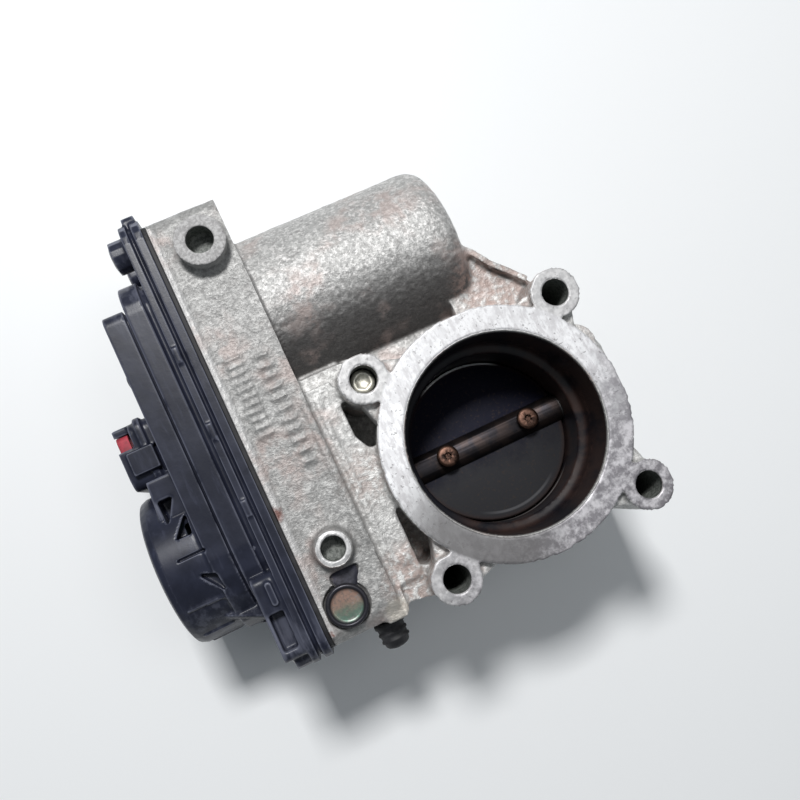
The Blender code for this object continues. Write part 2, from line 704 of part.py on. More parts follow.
def moulding_pockets():
    """Pockets in the upper side of the cover: tower slot, web triangles, connector gap and channel."""
    pockets = [box((-0.0840, -0.0768), (0.0051, 0.0059), (0.0484, 0.0510))]
    triangles = [[(-0.0826, 0.0102), (-0.0783, 0.0102), (-0.0783, 0.0160)],
                 [(-0.0832, 0.0140), (-0.0834, 0.0208), (-0.0795, 0.0208)],
                 [(-0.0812, 0.0010), (-0.0768, -0.0008), (-0.0762, -0.0062)]]
    for outline, bottom in zip(triangles, (0.0440, 0.0400, 0.0462)):
        pockets.append(prism(outline, "Z", bottom, 0.0520))
    pockets.append(box((-0.0793, -0.0779), (0.0275, 0.0352), (0.0389, 0.0430)))
    pockets.append(box((-0.0896, -0.0838), (0.0362, 0.0450), (0.0380, 0.0430)))
    pockets.append(box((-0.0694, -0.0658), (-0.0242, -0.0150), (0.0505, 0.0560)))
    return pockets


def make_cover(root):
    solids = cover_rim() + cover_pan() + [sensor_tower(), tower_web()]
    solids += tower_gussets() + connector_shroud() + cover_end_features()
    shell = cut(union(*solids), *cover_hollows())
    post = cylinder("X", (INTERMEDIATE_Y, INTERMEDIATE_Z), 0.0040, SLAB_X + 0.0012, COVER_FACE_X, 20)
    bead = prism(rounded_rectangle((-0.0674, -0.0658), (-0.0136, -0.0076), 0.0008), "Z", 0.0530, 0.0548)
    cover = cut(union(shell, post, bead), *cover_holes(), *moulding_pockets())
    finish(cover, "gearbox_cover", "black_plastic", root)


def make_cover_seal(root):
    start, end = COVER_FACE_X + GAP, TRAY_OPEN_X - GAP
    seal = rounded_block((start, end), shrink(TRAY_Y, 0.0002), shrink(TRAY_Z, 0.0002), TRAY_CORNER)
    middle = prism(rounded_rectangle(CAVITY_Y, CAVITY_Z, CAVITY_CORNER), "X", start - 0.001, end + 0.001)
    holes = [cylinder("X", centre, 0.0020, start - 0.001, end + 0.001, 12)
             for centre in cover_screw_positions()]
    finish(cut(seal, middle, *holes), "cover_seal", "black_rubber", root)


def pan_head_screw(axis, centre, head, shank_end, head_radius, shank_radius, socket_radius):
    """Screw whose head face is at head[0], its seat at head[1] and its tip at shank_end."""
    face, seat = head
    inward = 1 if seat > face else -1
    round_edge = head_radius * 0.25
    screw = turned([
        (face, 0.0), (face, head_radius - round_edge), (face + inward * round_edge, head_radius),
        (seat, head_radius), (seat, shank_radius), (shank_end, shank_radius), (shank_end, 0.0),
    ], axis, centre, 14)
    depth = abs(seat - face) * 0.6
    ends = (face - inward * 0.001, face + inward * depth)
    socket = prism(circle(centre, socket_radius, 6), axis, min(ends), max(ends))
    return cut(screw, socket)


def make_cover_screws(root):
    for number, centre in enumerate(cover_screw_positions(), 1):
        screw = pan_head_screw("X", centre, (-0.0690, -0.0671), -0.0490, 0.0034, 0.0014, 0.0014)
        finish(screw, f"cover_screw_{number}", "steel", root)


def make_connector_parts(root):
    for number, (y, z) in enumerate(connector_pin_positions(), 1):
        pin = box((-0.0845, -0.0705), (y - 0.0006, y + 0.0006), (z - 0.0003, z + 0.0003))
        finish(pin, f"connector_pin_{number}", "brass", root)
    outer = shrink(CONNECTOR_Y, CONNECTOR_WALL + GAP)
    tall = shrink(CONNECTOR_Z, CONNECTOR_WALL + GAP)
    seal = rounded_block((CONNECTOR_X + 0.0003, CONNECTOR_X + 0.0033), outer, tall, 0.0016)
    window = rounded_block((CONNECTOR_X - 0.001, CONNECTOR_X + 0.005), shrink(outer, 0.0012),
                           shrink(tall, 0.0012), 0.0010)
    finish(cut(seal, window), "connector_seal", "red_silicone", root)


# ---------------------------------------------------------------- throttle shaft group

def make_shaft_and_plate(tilted):
    shaft = turned([
        (SHAFT_X[0], 0.0), (SHAFT_X[0], SHAFT_RADIUS - 0.0006), (SHAFT_X[0] + 0.0006, SHAFT_RADIUS),
        (SHAFT_X[1] - 0.0006, SHAFT_RADIUS), (SHAFT_X[1], SHAFT_RADIUS - 0.0006), (SHAFT_X[1], 0.0),
    ], "X", (0, 0), 28)
    half_slot = PLATE_THICKNESS / 2 + GAP
    reach = PLATE_RADIUS + GAP
    slot = box((-reach, reach), (-0.006, 0.006), (-half_slot, half_slot))
    holes = [cylinder("Z", (side * PLATE_SCREW_X, 0), 0.0018, -0.006, 0.006, 16) for side in (-1, 1)]
    flats = [box((-0.0720 - 0.001, -0.0518), (-0.006, 0.006), (0.0034, 0.006))]
    finish(cut(shaft, slot, *holes, *flats), "throttle_shaft", "steel", tilted)
    make_plate(tilted)
    for number, side in enumerate((-1, 1), 1):
        screw = pan_head_screw("Z", (side * PLATE_SCREW_X, 0), (0.0058, 0.0043), -0.0046,
                               0.0030, 0.0015, 0.0011)
        finish(screw, f"plate_screw_{number}", "copper_plated", tilted)


def make_plate(tilted):
    half = PLATE_THICKNESS / 2
    edge = 0.0003
    plate = turned([
        (-half, 0.0), (-half, PLATE_RADIUS - edge), (-half + edge, PLATE_RADIUS),
        (half - edge, PLATE_RADIUS), (half, PLATE_RADIUS - edge), (half, 0.0),
    ], "Z", (0, 0), 56)
    holes = [cylinder("Z", (side * PLATE_SCREW_X, 0), 0.0018, -0.006, 0.006, 16) for side in (-1, 1)]
    finish(cut(plate, *holes), "throttle_plate", "dark_brass", tilted)


def make_sector_gear(throttle):
    fan = prism(sector_outline(), "X", *SECTOR_X)
    web = cylinder("X", (0, SHAFT_Z), 0.0095, SECTOR_X[0], SECTOR_X[1], 32)
    hub = cylinder("X", (0, SHAFT_Z), HUB_RADIUS, *HUB_X, 32)
    hole = cylinder("X", (0, SHAFT_Z), SHAFT_RADIUS + GAP, HUB_X[0] - 0.001, HUB_X[1] + 0.001, 32)
    gear = cut(union(fan, web, hub), hole)
    place_on(gear, throttle, "sector_gear", "gear_plastic")


def place_on(solid, empty, name, material):
    """Finish a solid drawn in the design frame as a child of an empty on a joint's axis."""
    solid.data.transform(translation_to(empty))
    finish(solid, name, material, empty)


def translation_to(empty):
    return Matrix.Translation(-empty.location)


def tube_solid(axis, centre, outer, inner, start, end, segments=28):
    return turned([(start, inner), (start, outer), (end, outer), (end, inner)], axis, centre, segments)


def make_shaft_end_parts(throttle):
    axis = (0, SHAFT_Z)
    bore = cylinder("X", axis, SHAFT_RADIUS + GAP, -0.080, -0.069, 32)
    nut = prism(circle(axis, 0.0053, 6), "X", -0.0722, -0.0703)
    place_on(cut(nut, bore), throttle, "sector_nut", "steel")
    magnet = tube_solid("X", axis, HUB_RADIUS, 0.0060, -0.0752, -0.0703, 32)
    place_on(magnet, throttle, "magnet_ring", "magnet")


def make_bearings_and_seals(root):
    axis = (0, SHAFT_Z)
    inner = SHAFT_RADIUS + RUNNING_GAP
    for name, start, end in (("drive_side_bearing", -0.0427, -0.0350), ("far_side_bearing", 0.0295, 0.0352)):
        finish(tube_solid("X", axis, BEARING_RADIUS, inner, start, end), name, "steel", root)
    for name, start, end in (("drive_side_seal", -0.0347, -0.0316), ("far_side_seal", 0.0271, 0.0292)):
        finish(tube_solid("X", axis, BEARING_RADIUS, inner, start, end), name, "black_rubber", root)
    plug = turned([
        (0.0358, 0.0), (0.0358, 0.0089), (0.0372, 0.0089), (0.0372, 0.0076), (0.0364, 0.0070), (0.0364, 0.0),
    ], "X", axis, 32)
    finish(plug, "shaft_end_plug", "steel", root)


def coil(name, start, turns, pitch, radius, wire, root):
    """Coil spring about the shaft axis, as one closed round-wire tube."""
    steps = COIL_STEPS * turns
    sides = 5
    bm = bmesh.new()
    rings = []
    for i in range(steps + 1):
        angle = 2 * math.pi * i / COIL_STEPS
        outward = Vector((0, math.cos(angle), math.sin(angle)))
        centre = Vector((start + pitch * i / COIL_STEPS, 0, SHAFT_Z)) + outward * radius
        ring = []
        for k in range(sides):
            turn = 2 * math.pi * k / sides
            offset = outward * math.cos(turn) + Vector((1, 0, 0)) * math.sin(turn)
            ring.append(bm.verts.new(centre + offset * wire))
        rings.append(ring)
    for first, second in zip(rings, rings[1:]):
        bridge_rings(bm, first, second, sides)
    bm.faces.new(rings[0])
    bm.faces.new(rings[-1])
    finish(solid_from_bmesh(bm), name, "spring_steel", root, 60.0)


def make_springs(root):
    coil("return_spring", -0.0688, 4, 0.0018, 0.0094, 0.0007, root)
    coil("limp_home_spring", -0.0602, 1, 0.0020, 0.0094, 0.0006, root)


# ---------------------------------------------------------------- gear train and motor

def make_intermediate_gear(intermediate):
    centre = (INTERMEDIATE_Y, INTERMEDIATE_Z)
    large = prism(gear_outline(centre, LARGE_TEETH, SECOND_MESH), "X", *LARGE_GEAR_X)
    small_first = FIRST_MESH + 180 + 180 / SMALL_TEETH
    small = prism(gear_outline(centre, SMALL_TEETH, small_first), "X", *SMALL_GEAR_X)
    hole = cylinder("X", centre, 0.0018, -0.060, -0.040, 20)
    place_on(cut(union(large, small), hole), intermediate, "intermediate_gear", "gear_plastic")


def make_intermediate_pin(root):
    pin = cylinder("X", (INTERMEDIATE_Y, INTERMEDIATE_Z), 0.0016, -0.0645, -0.0384, 20)
    finish(pin, "intermediate_gear_pin", "steel", root)


def make_motor_rotor(rotor):
    centre = (MOTOR_Y, SHAFT_Z)
    first = SECOND_MESH + 180 + 180 / MOTOR_PINION_TEETH
    pinion = prism(gear_outline(centre, MOTOR_PINION_TEETH, first), "X", *MOTOR_PINION_X)
    hole = cylinder("X", centre, MOTOR_SHAFT_RADIUS + GAP, -0.052, -0.044, 20)
    place_on(cut(pinion, hole), rotor, "motor_pinion", "brass")
    shaft = cylinder("X", centre, MOTOR_SHAFT_RADIUS, -0.0506, 0.0056, 20)
    place_on(shaft, rotor, "motor_shaft", "steel")
    make_armature(rotor, centre)


def make_armature(rotor, centre):
    """Slotted rotor stack with its winding heads."""
    poles = 10
    outline = []
    for i in range(poles):
        middle = 360 * i / poles
        for radius, offset in ((0.0085, -13), (0.0122, -13), (0.0122, 13), (0.0085, 13)):
            u, v = polar(radius, middle + offset)
            outline.append((centre[0] + u, centre[1] + v))
    stack = prism(outline, "X", -0.0330, -0.0030)
    heads = cylinder("X", centre, 0.0095, -0.0370, 0.0010, 24)
    hole = cylinder("X", centre, MOTOR_SHAFT_RADIUS + GAP, -0.040, 0.002, 20)
    place_on(cut(union(stack, heads), hole), rotor, "motor_armature", "copper_winding")


def make_motor_case(root):
    centre = (MOTOR_Y, SHAFT_Z)
    start, end = MOTOR_CAN_X
    inside = MOTOR_CAN_RADIUS - MOTOR_CAN_WALL
    can = turned([
        (start, inside), (start, MOTOR_CAN_RADIUS), (end - MOTOR_CAN_WALL, MOTOR_CAN_RADIUS), (end, inside),
        (end, 0.0045), (end + 0.0014, 0.0040), (end + 0.0014, 0.0), (end - 0.0015, 0.0),
        (end - 0.0015, inside),
    ], "X", centre, 36)
    finish(can, "motor_can", "steel", root)
    washer = tube_solid("X", centre, 0.0150, 0.0100, end + GAP, end + 0.0013, 28)
    finish(washer, "motor_wave_washer", "spring_steel", root)
    make_motor_end_plate(root, centre)
    for number, first in enumerate((-60, 120), 1):
        finish(magnet_arc(centre, first, first + 120), f"motor_magnet_{number}", "magnet", root)


def magnet_arc(centre, first, last):
    steps = 10
    outer = MOTOR_CAN_RADIUS - MOTOR_CAN_WALL - GAP
    angles = [first + (last - first) * i / steps for i in range(steps + 1)]
    outline = [polar(outer, a) for a in angles] + [polar(0.0130, a) for a in reversed(angles)]
    return prism([(centre[0] + u, centre[1] + v) for u, v in outline], "X", -0.0340, -0.0020)


def make_motor_end_plate(root, centre):
    """Plastic end plate with two screw ears and a plug that closes the can."""
    x = (-0.0443, -0.0433)
    plate = cylinder("X", centre, MOTOR_CAN_RADIUS, *x, 36)
    for side in (-1, 1):
        plate = union(plate, *screw_ear(centre, side * MOTOR_SCREW_ANGLE, x))
    plug = cylinder("X", centre, MOTOR_CAN_RADIUS - MOTOR_CAN_WALL - GAP, x[0] + GAP, -0.0385, 32)
    tools = [cylinder("X", centre, MOTOR_SHAFT_RADIUS + RUNNING_GAP, -0.046, -0.036, 20)]
    for hole in motor_screw_positions():
        tools.append(cylinder("X", hole, 0.0014, -0.046, -0.042, 16))
    for z in terminal_heights():
        tools.append(box((-0.046, -0.0410), (MOTOR_Y - 0.0018, MOTOR_Y + 0.0018), (z - 0.0007, z + 0.0007)))
    finish(cut(union(plate, plug), *tools), "motor_end_plate", "black_plastic", root)


def screw_ear(centre, degrees, x):
    half_width = 0.0028
    inner = Vector(polar(0.0100, degrees)) + Vector(centre)
    outer = Vector(polar(MOTOR_SCREW_REACH, degrees)) + Vector(centre)
    across = Vector(polar(half_width, degrees + 90))
    ear = prism([tuple(p) for p in (inner - across, outer - across, outer + across, inner + across)], "X", *x)
    return [ear, cylinder("X", tuple(outer), half_width, *x, 20)]


def terminal_heights():
    return SHAFT_Z - TERMINAL_REACH, SHAFT_Z + TERMINAL_REACH


def make_motor_fixings(root):
    for number, centre in enumerate(motor_screw_positions(), 1):
        screw = pan_head_screw("X", centre, (-0.0462, -0.0446), -0.0378, 0.0024, 0.0010, 0.0010)
        finish(screw, f"motor_screw_{number}", "steel", root)
    for number, z in enumerate(terminal_heights(), 1):
        blade = box((-0.0660, -0.0414), (MOTOR_Y - 0.0015, MOTOR_Y + 0.0015), (z - 0.0004, z + 0.0004))
        finish(blade, f"motor_terminal_{number}", "brass", root)


# ---------------------------------------------------------------- sensor and small fittings

def make_sensor_board(root):
    axis = (TOWER_Y, SHAFT_Z)
    board = cylinder("X", axis, TOWER_BORE - GAP, *BOARD_X, 40)
    chip = box((BOARD_X[1] - 0.0002, BOARD_X[1] + 0.0010), (-0.0025, 0.0025), (SHAFT_Z - 0.0020, SHAFT_Z + 0.0020))
    finish(union(board, chip), "sensor_board", "circuit_board", root)


def make_stop_screw(root):
    screw = pan_head_screw("Z", STOP_SCREW, (0.0003, 0.0014), 0.0125, 0.0026, 0.0015, 0.0012)
    finish(screw, "stop_screw", "steel", root)


def make_wall_plug(root):
    plug = turned([
        (0.0524, 0.0), (0.0524, 0.0050), (0.0545, 0.0052), (0.0549, 0.0047), (0.0546, 0.0041),
        (0.0537, 0.0037), (0.0540, 0.0018), (0.0541, 0.0),
    ], "Z", WALL_PLUG, 24)
    finish(plug, "wall_plug", "copper_plated", root)


def make_spigot_cap(root):
    cap = turned([
        (-0.0296, 0.0024), (-0.0296, 0.0037), (-0.0304, 0.0040), (-0.0314, 0.0036), (-0.0348, 0.0035),
        (-0.0360, 0.0026), (-0.0366, 0.0), (-0.0344, 0.0), (-0.0344, 0.0024),
    ], "Y", SPIGOT, 20)
    finish(cap, "spigot_cap", "black_rubber", root)


def make_flange_dowel(root):
    top = HEIGHT - 0.0048
    pin = turned([
        (0.0380, 0.0), (0.0380, 0.0026), (0.0386, 0.0031), (top - 0.0006, 0.0031),
        (top, 0.0025), (top + 0.0002, 0.0),
    ], "Z", (-COLUMN_OFFSET, COLUMN_OFFSET), 20)
    finish(pin, "flange_dowel", "steel", root)


def build():
    clear_scene()
    root = add_empty("assembly", (*BORE_SHIFT, 0))
    throttle = add_empty("throttle_axis", (0, 0, SHAFT_Z), root)
    tilted = add_empty("plate_rest_tilt", (0, 0, 0), throttle)
    tilted.rotation_euler = (math.radians(-PLATE_REST_TILT), 0, 0)
    intermediate = add_empty("intermediate_axis", (0, INTERMEDIATE_Y, INTERMEDIATE_Z), root)
    rotor = add_empty("motor_axis", (0, MOTOR_Y, SHAFT_Z), root)
    make_housing(root)
    make_cover(root)
    make_cover_seal(root)
    make_cover_screws(root)
    make_connector_parts(root)
    make_shaft_and_plate(tilted)
    make_sector_gear(throttle)
    make_shaft_end_parts(throttle)
    make_bearings_and_seals(root)
    make_springs(root)
    make_intermediate_gear(intermediate)
    make_intermediate_pin(root)
    make_motor_rotor(rotor)
    make_motor_case(root)
    make_motor_fixings(root)
    make_sensor_board(root)
    make_stop_screw(root)
    make_wall_plug(root)
    make_spigot_cap(root)
    make_flange_dowel(root)


build()
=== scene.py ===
"""Looks of the throttle body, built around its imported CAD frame.

The casting and the moulded cover are remeshed from their CAD solids, which gives them cast
fillets and soft moulded edges. The visible fasteners and small fittings are modelled again in
finer detail. All other CAD nodes keep their mesh and get a material, and most get rounded edges.

Places and sizes in materials are in metres. Names and arguments that end in _mm, and every
place given to at(), are in millimetres from the bore axis and the engine-side face.
"""
import json
import math

import bmesh
import bpy
from mathutils import Matrix, Vector


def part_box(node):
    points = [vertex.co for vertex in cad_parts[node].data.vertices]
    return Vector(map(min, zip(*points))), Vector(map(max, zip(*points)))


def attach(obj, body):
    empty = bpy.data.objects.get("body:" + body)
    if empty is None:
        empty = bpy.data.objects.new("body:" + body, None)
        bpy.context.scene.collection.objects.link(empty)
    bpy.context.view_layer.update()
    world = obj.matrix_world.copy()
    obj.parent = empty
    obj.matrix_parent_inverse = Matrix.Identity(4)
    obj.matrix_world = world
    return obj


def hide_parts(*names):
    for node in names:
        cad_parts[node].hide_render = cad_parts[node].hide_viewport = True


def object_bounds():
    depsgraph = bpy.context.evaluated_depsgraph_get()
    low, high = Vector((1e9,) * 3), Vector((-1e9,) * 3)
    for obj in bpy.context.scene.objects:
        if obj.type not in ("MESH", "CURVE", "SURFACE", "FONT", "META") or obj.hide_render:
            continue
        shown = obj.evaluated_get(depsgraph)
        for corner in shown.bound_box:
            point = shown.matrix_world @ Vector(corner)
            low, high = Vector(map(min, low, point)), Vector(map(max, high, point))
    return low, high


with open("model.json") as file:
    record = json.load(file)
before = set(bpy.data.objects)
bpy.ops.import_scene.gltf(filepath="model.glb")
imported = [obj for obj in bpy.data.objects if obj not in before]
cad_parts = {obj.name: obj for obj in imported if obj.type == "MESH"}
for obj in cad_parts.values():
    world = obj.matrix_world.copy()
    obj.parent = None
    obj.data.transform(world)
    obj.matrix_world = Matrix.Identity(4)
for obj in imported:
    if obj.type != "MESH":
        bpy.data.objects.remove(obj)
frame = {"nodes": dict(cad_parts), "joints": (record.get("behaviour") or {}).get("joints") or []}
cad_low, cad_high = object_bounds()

MM = 0.001
JOINTS = {joint["name"]: joint for joint in frame["joints"]}
AXIS = Vector(JOINTS["throttle_turn"]["pos_m"])
BORE = Vector((AXIS.x, AXIS.y, 0.0))
HEIGHT = cad_high[2]
SHAFT_Z = AXIS.z
PLATE_TILT = math.radians(6.0)    # of the plate's face at rest, about the shaft
EDGE_ANGLE = 34                   # degrees; sharper edges are bevelled, and never shaded smooth
SCREW_ANGLE, PIN_ANGLE = 32, 30   # degrees; sharper edges of screws and pins aren't shaded smooth
UP, DOWN = (0, 0, 1), (0, 0, -1)

# Places in millimetres, as at() takes them.
COLUMN = 26.0                     # bolt columns, in X and in Y
UPPER_BOSS = (-47.4, 72.8)
LOWER_BOSS = (-49.2, -7.1)
LOWER_BOSS_TOP = 57.0
HOLE_RADIUS, COLUMN_RADIUS = 3.4, 6.3
WALL_PLUG = (-51.8, -20.7)
MOTOR_Y = 54.17
TOWER_Y = 3.7                     # sensor tower on the cover
AXES_Z = 29.5                     # height of the shaft, the motor and the sensor tower
COLUMNS = [(side_x * COLUMN, side_y * COLUMN) for side_x in (-1, 1) for side_y in (-1, 1)]
HOLES = [(x, y, HEIGHT) for x, y in (*COLUMNS, UPPER_BOSS)] + [(*LOWER_BOSS, LOWER_BOSS_TOP * MM)]


def at(x, y, z):
    """Point given in millimetres from the bore axis and the engine-side face."""
    return BORE + Vector((x, y, z)) * MM


# -------- materials

class Paint:
    """A Principled material and short calls that add nodes to it."""

    def __init__(self, name, metallic=0.0):
        self.material = bpy.data.materials.new(name)
        self.material.use_nodes = True
        self.tree = self.material.node_tree
        self.shader = self.tree.nodes["Principled BSDF"]
        self.set("Metallic", metallic)
        self.position = self.tree.nodes.new("ShaderNodeTexCoord").outputs["Object"]

    def set(self, socket, value):
        self.plug(self.shader.inputs[socket], value)

    def plug(self, socket, value):
        """Put a number, a vector or another node's output on a socket."""
        if isinstance(value, bpy.types.NodeSocket):
            self.tree.links.new(value, socket)
        else:
            socket.default_value = value

    def node(self, kind, inputs, **settings):
        """Outputs of a new shader node, whose inputs are given by name or number."""
        node = self.tree.nodes.new(f"ShaderNode{kind}")
        for setting, value in settings.items():
            setattr(node, setting, value)
        for socket, value in inputs.items():
            self.plug(node.inputs[socket], value)
        return node.outputs

    def noise(self, size_mm, detail, roughness=0.6, stretch=(1, 1, 1)):
        """Noise between about 0.2 and 0.8 whose blotches are size_mm across."""
        return self.node("TexNoise", {"Vector": self.stretched(stretch), "Scale": 1000.0 / size_mm,
                                      "Detail": detail, "Roughness": roughness})["Fac"]

    def stretched(self, stretch):
        """The position, scaled along each axis; below 1 draws a pattern out along it."""
        if stretch == (1, 1, 1):
            return self.position
        return self.node("Mapping", {"Vector": self.position, "Scale": stretch})["Vector"]

    def span(self, value, low, high):
        """0 at low, 1 at high, smooth between and constant beyond; low may be the larger."""
        flip = low > high
        ends = {"From Min": min(low, high), "From Max": max(low, high),
                "To Min": 1.0 if flip else 0.0, "To Max": 0.0 if flip else 1.0}
        return self.node("MapRange", {"Value": value, **ends}, interpolation_type="SMOOTHSTEP")["Result"]

    def band(self, value, middle, half):
        """1 at the middle, fading to 0 at the half width on either side."""
        offset = self.math("ABSOLUTE", self.minus(value, middle))
        return self.span(offset, half, half * 0.3)

    def scale(self, value, low, high):
        """Straight line from value 0..1 to low..high."""
        return self.node("MapRange", {"Value": value, "To Min": low, "To Max": high})["Result"]

    def math(self, operation, a, b=0.0):
        return self.node("Math", {0: a, 1: b}, operation=operation)[0]

    def times(self, a, b):
        return self.math("MULTIPLY", a, b)

    def minus(self, a, b):
        return self.math("SUBTRACT", a, b)

    def most(self, first, *others):
        """The largest of some masks."""
        for other in others:
            first = self.math("MAXIMUM", first, other)
        return first

    def over(self, mask, amount, color, tone):
        """The colour, with this amount of a tone laid over it where the mask is 1."""
        return self.mix(self.times(mask, amount), color, tone)

    def mix(self, factor, a, b):
        """Colour mix of a and b."""
        a, b = [side if isinstance(side, bpy.types.NodeSocket) else (*side, 1.0) for side in (a, b)]
        return self.node("Mix", {0: factor, 6: a, 7: b}, data_type="RGBA")[2]

    def blend(self, factor, a, b):
        """Number mix of a and b."""
        return self.node("Mix", {0: factor, 2: a, 3: b})[0]

    def part(self, letter):
        """One coordinate of the position."""
        return self.node("SeparateXYZ", {0: self.position})[letter]

    def distance(self, centre, axes="XY"):
        """Distance from a point, measured in the given axes only."""
        offset = self.vector_math("SUBTRACT", self.position, centre)["Vector"]
        kept = self.vector_math("MULTIPLY", offset, [1.0 if letter in axes else 0.0 for letter in "XYZ"])
        return self.vector_math("LENGTH", kept["Vector"])["Value"]

    def near(self, centre, low, high):
        """Span of the distance from an upright line through a point."""
        return self.span(self.distance(centre), low, high)

    def vector_math(self, operation, a, b=(0.0, 0.0, 0.0)):
        return self.node("VectorMath", {0: a, 1: b}, operation=operation)

    def edges(self):
        """Pointiness: higher on convex edges, lower in corners; it masks edge wear, painted edge highlights,
        and dirt with painted shade in corners.
        """
        return self.node("NewGeometry", {})["Pointiness"]

    def facing(self, direction, low, high):
        """1 where the surface faces a direction in the part's frame, 0 where it faces away."""
        normal = self.node("NewGeometry", {})["Normal"]
        return self.span(self.vector_math("DOT_PRODUCT", normal, direction)["Value"], low, high)

    def bump(self, height, distance_mm, strength, after=None):
        """Normal of a surface raised by height, on top of an earlier normal if there is one."""
        inputs = {"Height": height, "Distance": distance_mm * MM, "Strength": strength}
        if after is not None:
            inputs["Normal"] = after
        return self.node("Bump", inputs)["Normal"]


def barrel_mask(paint):
    """1 on the motor barrel, away from the tray and the flange ring."""
    height = paint.minus(paint.part("Z"), SHAFT_Z)
    across = paint.minus(paint.part("Y"), at(0, MOTOR_Y, 0).y)
    square = paint.math("ADD", paint.times(height, height), paint.times(across, across))
    radius = paint.math("SQRT", square)
    return paint.times(paint.span(radius, 0.0245, 0.0230), paint.span(radius, 0.0190, 0.0205))


def hole_mask(paint):
    """1 inside the bolt holes and the two blind holes, below their mouths."""
    low, high = (HOLE_RADIUS + 0.22) * MM, (HOLE_RADIUS + 0.08) * MM
    masks = []
    for x, y, top in HOLES:
        below = paint.span(paint.part("Z"), top - 0.0004, top - 0.0009)
        masks.append(paint.times(paint.near(at(x, y, 0), low, high), below))
    return paint.most(*masks)


def spot(paint, centre, radius_mm, edge_mm, flat=False):
    """1 near a point, or near the upright line through it if flat; the edge is soft and ragged."""
    ragged = paint.scale(paint.noise(1.3, 3), -0.0010, 0.0010)
    distance = paint.math("ADD", paint.distance(centre, "XY" if flat else "XYZ"), ragged)
    return paint.span(distance, (radius_mm + edge_mm) * MM, (radius_mm - edge_mm) * MM)


# Linear colours of the casting; a pair is the two tones that a noise mixes.
SAND = (0.43, 0.425, 0.415), (0.60, 0.595, 0.58)
PALE_GRAIN, DARK_GRAIN, GREY_BLOTCH = (0.84, 0.83, 0.81), (0.28, 0.27, 0.265), (0.36, 0.35, 0.34)
WHITE_CRUST, RUBBED = (0.95, 0.93, 0.91), (0.86, 0.85, 0.84)
UNDERSIDE_SHADE, WARM_CLOUD, BROWN_STAIN = (0.048, 0.044, 0.043), (0.60, 0.46, 0.42), (0.42, 0.30, 0.26)
RUST, CORNER_DIRT_AND_SHADE, TAN_BLOCK = (0.26, 0.07, 0.04), (0.10, 0.09, 0.085), (0.78, 0.72, 0.62)
CUT, CUT_BLOTCH = ((0.86, 0.86, 0.87), (0.64, 0.63, 0.64)), (0.58, 0.57, 0.58)
LUGS = (0.38, 0.375, 0.37), (0.68, 0.67, 0.66)
BOSS = (0.26, 0.25, 0.245), (0.56, 0.55, 0.54)
STAIN = (0.16, 0.15, 0.165), (0.58, 0.56, 0.58)
PIT, LOWER_RING_TONE, UPPER_SHADE = (0.16, 0.15, 0.15), (0.125, 0.12, 0.12), (0.30, 0.295, 0.30)
SOOT, BROWN_SOOT, BORE_HIGHLIGHT = (0.006, 0.006, 0.009), (0.038, 0.021, 0.017), (0.50, 0.48, 0.47)
HOLE_SHADE = (0.075, 0.083, 0.075), (0.190, 0.200, 0.185)
RECESS_SHADOW = (0.005, 0.006, 0.018), (0.028, 0.028, 0.050)
BLACK = (0.0, 0.0, 0.0)


def cast_skin(paint, sand, grain, blotch, barrel, underside_shade):
    """Colour of the rough skin: sand and grains, then stains, wear and soil, and painted shade under the
    barrel and in corners.
    """
    color = paint.mix(paint.span(sand, 0.36, 0.64), *SAND)
    color = paint.over(paint.span(grain, 0.52, 0.64), 0.58, color, PALE_GRAIN)
    color = paint.over(paint.span(grain, 0.45, 0.34), 0.48, color, DARK_GRAIN)
    color = paint.over(paint.span(blotch, 0.46, 0.36), 0.32, color, GREY_BLOTCH)
    crust = paint.times(barrel, paint.span(paint.noise(1.1, 3, 0.7), 0.50, 0.62))
    color = paint.over(crust, 0.70, color, WHITE_CRUST)
    rim = paint.times(paint.span(paint.part("X"), at(-56.2, 0, 0).x, at(-56.9, 0, 0).x),
                      paint.span(paint.part("Z"), 0.0530, 0.0534))
    color = paint.over(rim, 0.75, color, RUBBED)
    # Painted shade: the barrel's underside, turned away from the key light, is darkened.
    color = paint.over(underside_shade, 0.92, color, UNDERSIDE_SHADE)
    warm = paint.times(paint.span(paint.noise(17.0, 3, 0.5), 0.47, 0.62), paint.span(blotch, 0.38, 0.60))
    color = paint.over(warm, 0.50, color, WARM_CLOUD)

    web = spot(paint, at(17.5, 36.5, 44), 11.0, 3.0, flat=True)
    lug = spot(paint, at(-34.0, -22.0, 49), 8.0, 3.0, flat=True)
    ledge = spot(paint, at(-35.5, 5.0, 51), 6.0, 4.0, flat=True)
    stain = paint.times(paint.most(web, lug, paint.times(ledge, 0.6)), paint.span(grain, 0.62, 0.42))
    color = paint.over(stain, 0.60, color, BROWN_STAIN)
    rust = paint.most(spot(paint, at(-58.6, 5.5, 53.2), 2.0, 0.8),
                      spot(paint, at(-58.2, -25.3, 53.0), 0.9, 0.4))
    color = paint.over(rust, 0.85, color, RUST)
    # Dirt and painted shade darken the concave corners.
    color = paint.over(paint.span(paint.edges(), 0.495, 0.42), 0.60, color, CORNER_DIRT_AND_SHADE)
    color = paint.over(spot(paint, at(-41.5, -27.0, 52.0), 3.0, 1.0), 0.6, color, TAN_BLOCK)
    color = paint.over(paint.span(paint.edges(), 0.52, 0.60), 0.45, color, RUBBED)
    tray = paint.span(paint.part("X"), at(-39.8, 0, 0).x, at(-40.6, 0, 0).x)
    return paint.mix(paint.most(paint.times(tray, 0.36), paint.times(barrel, 0.20)), color, BLACK)


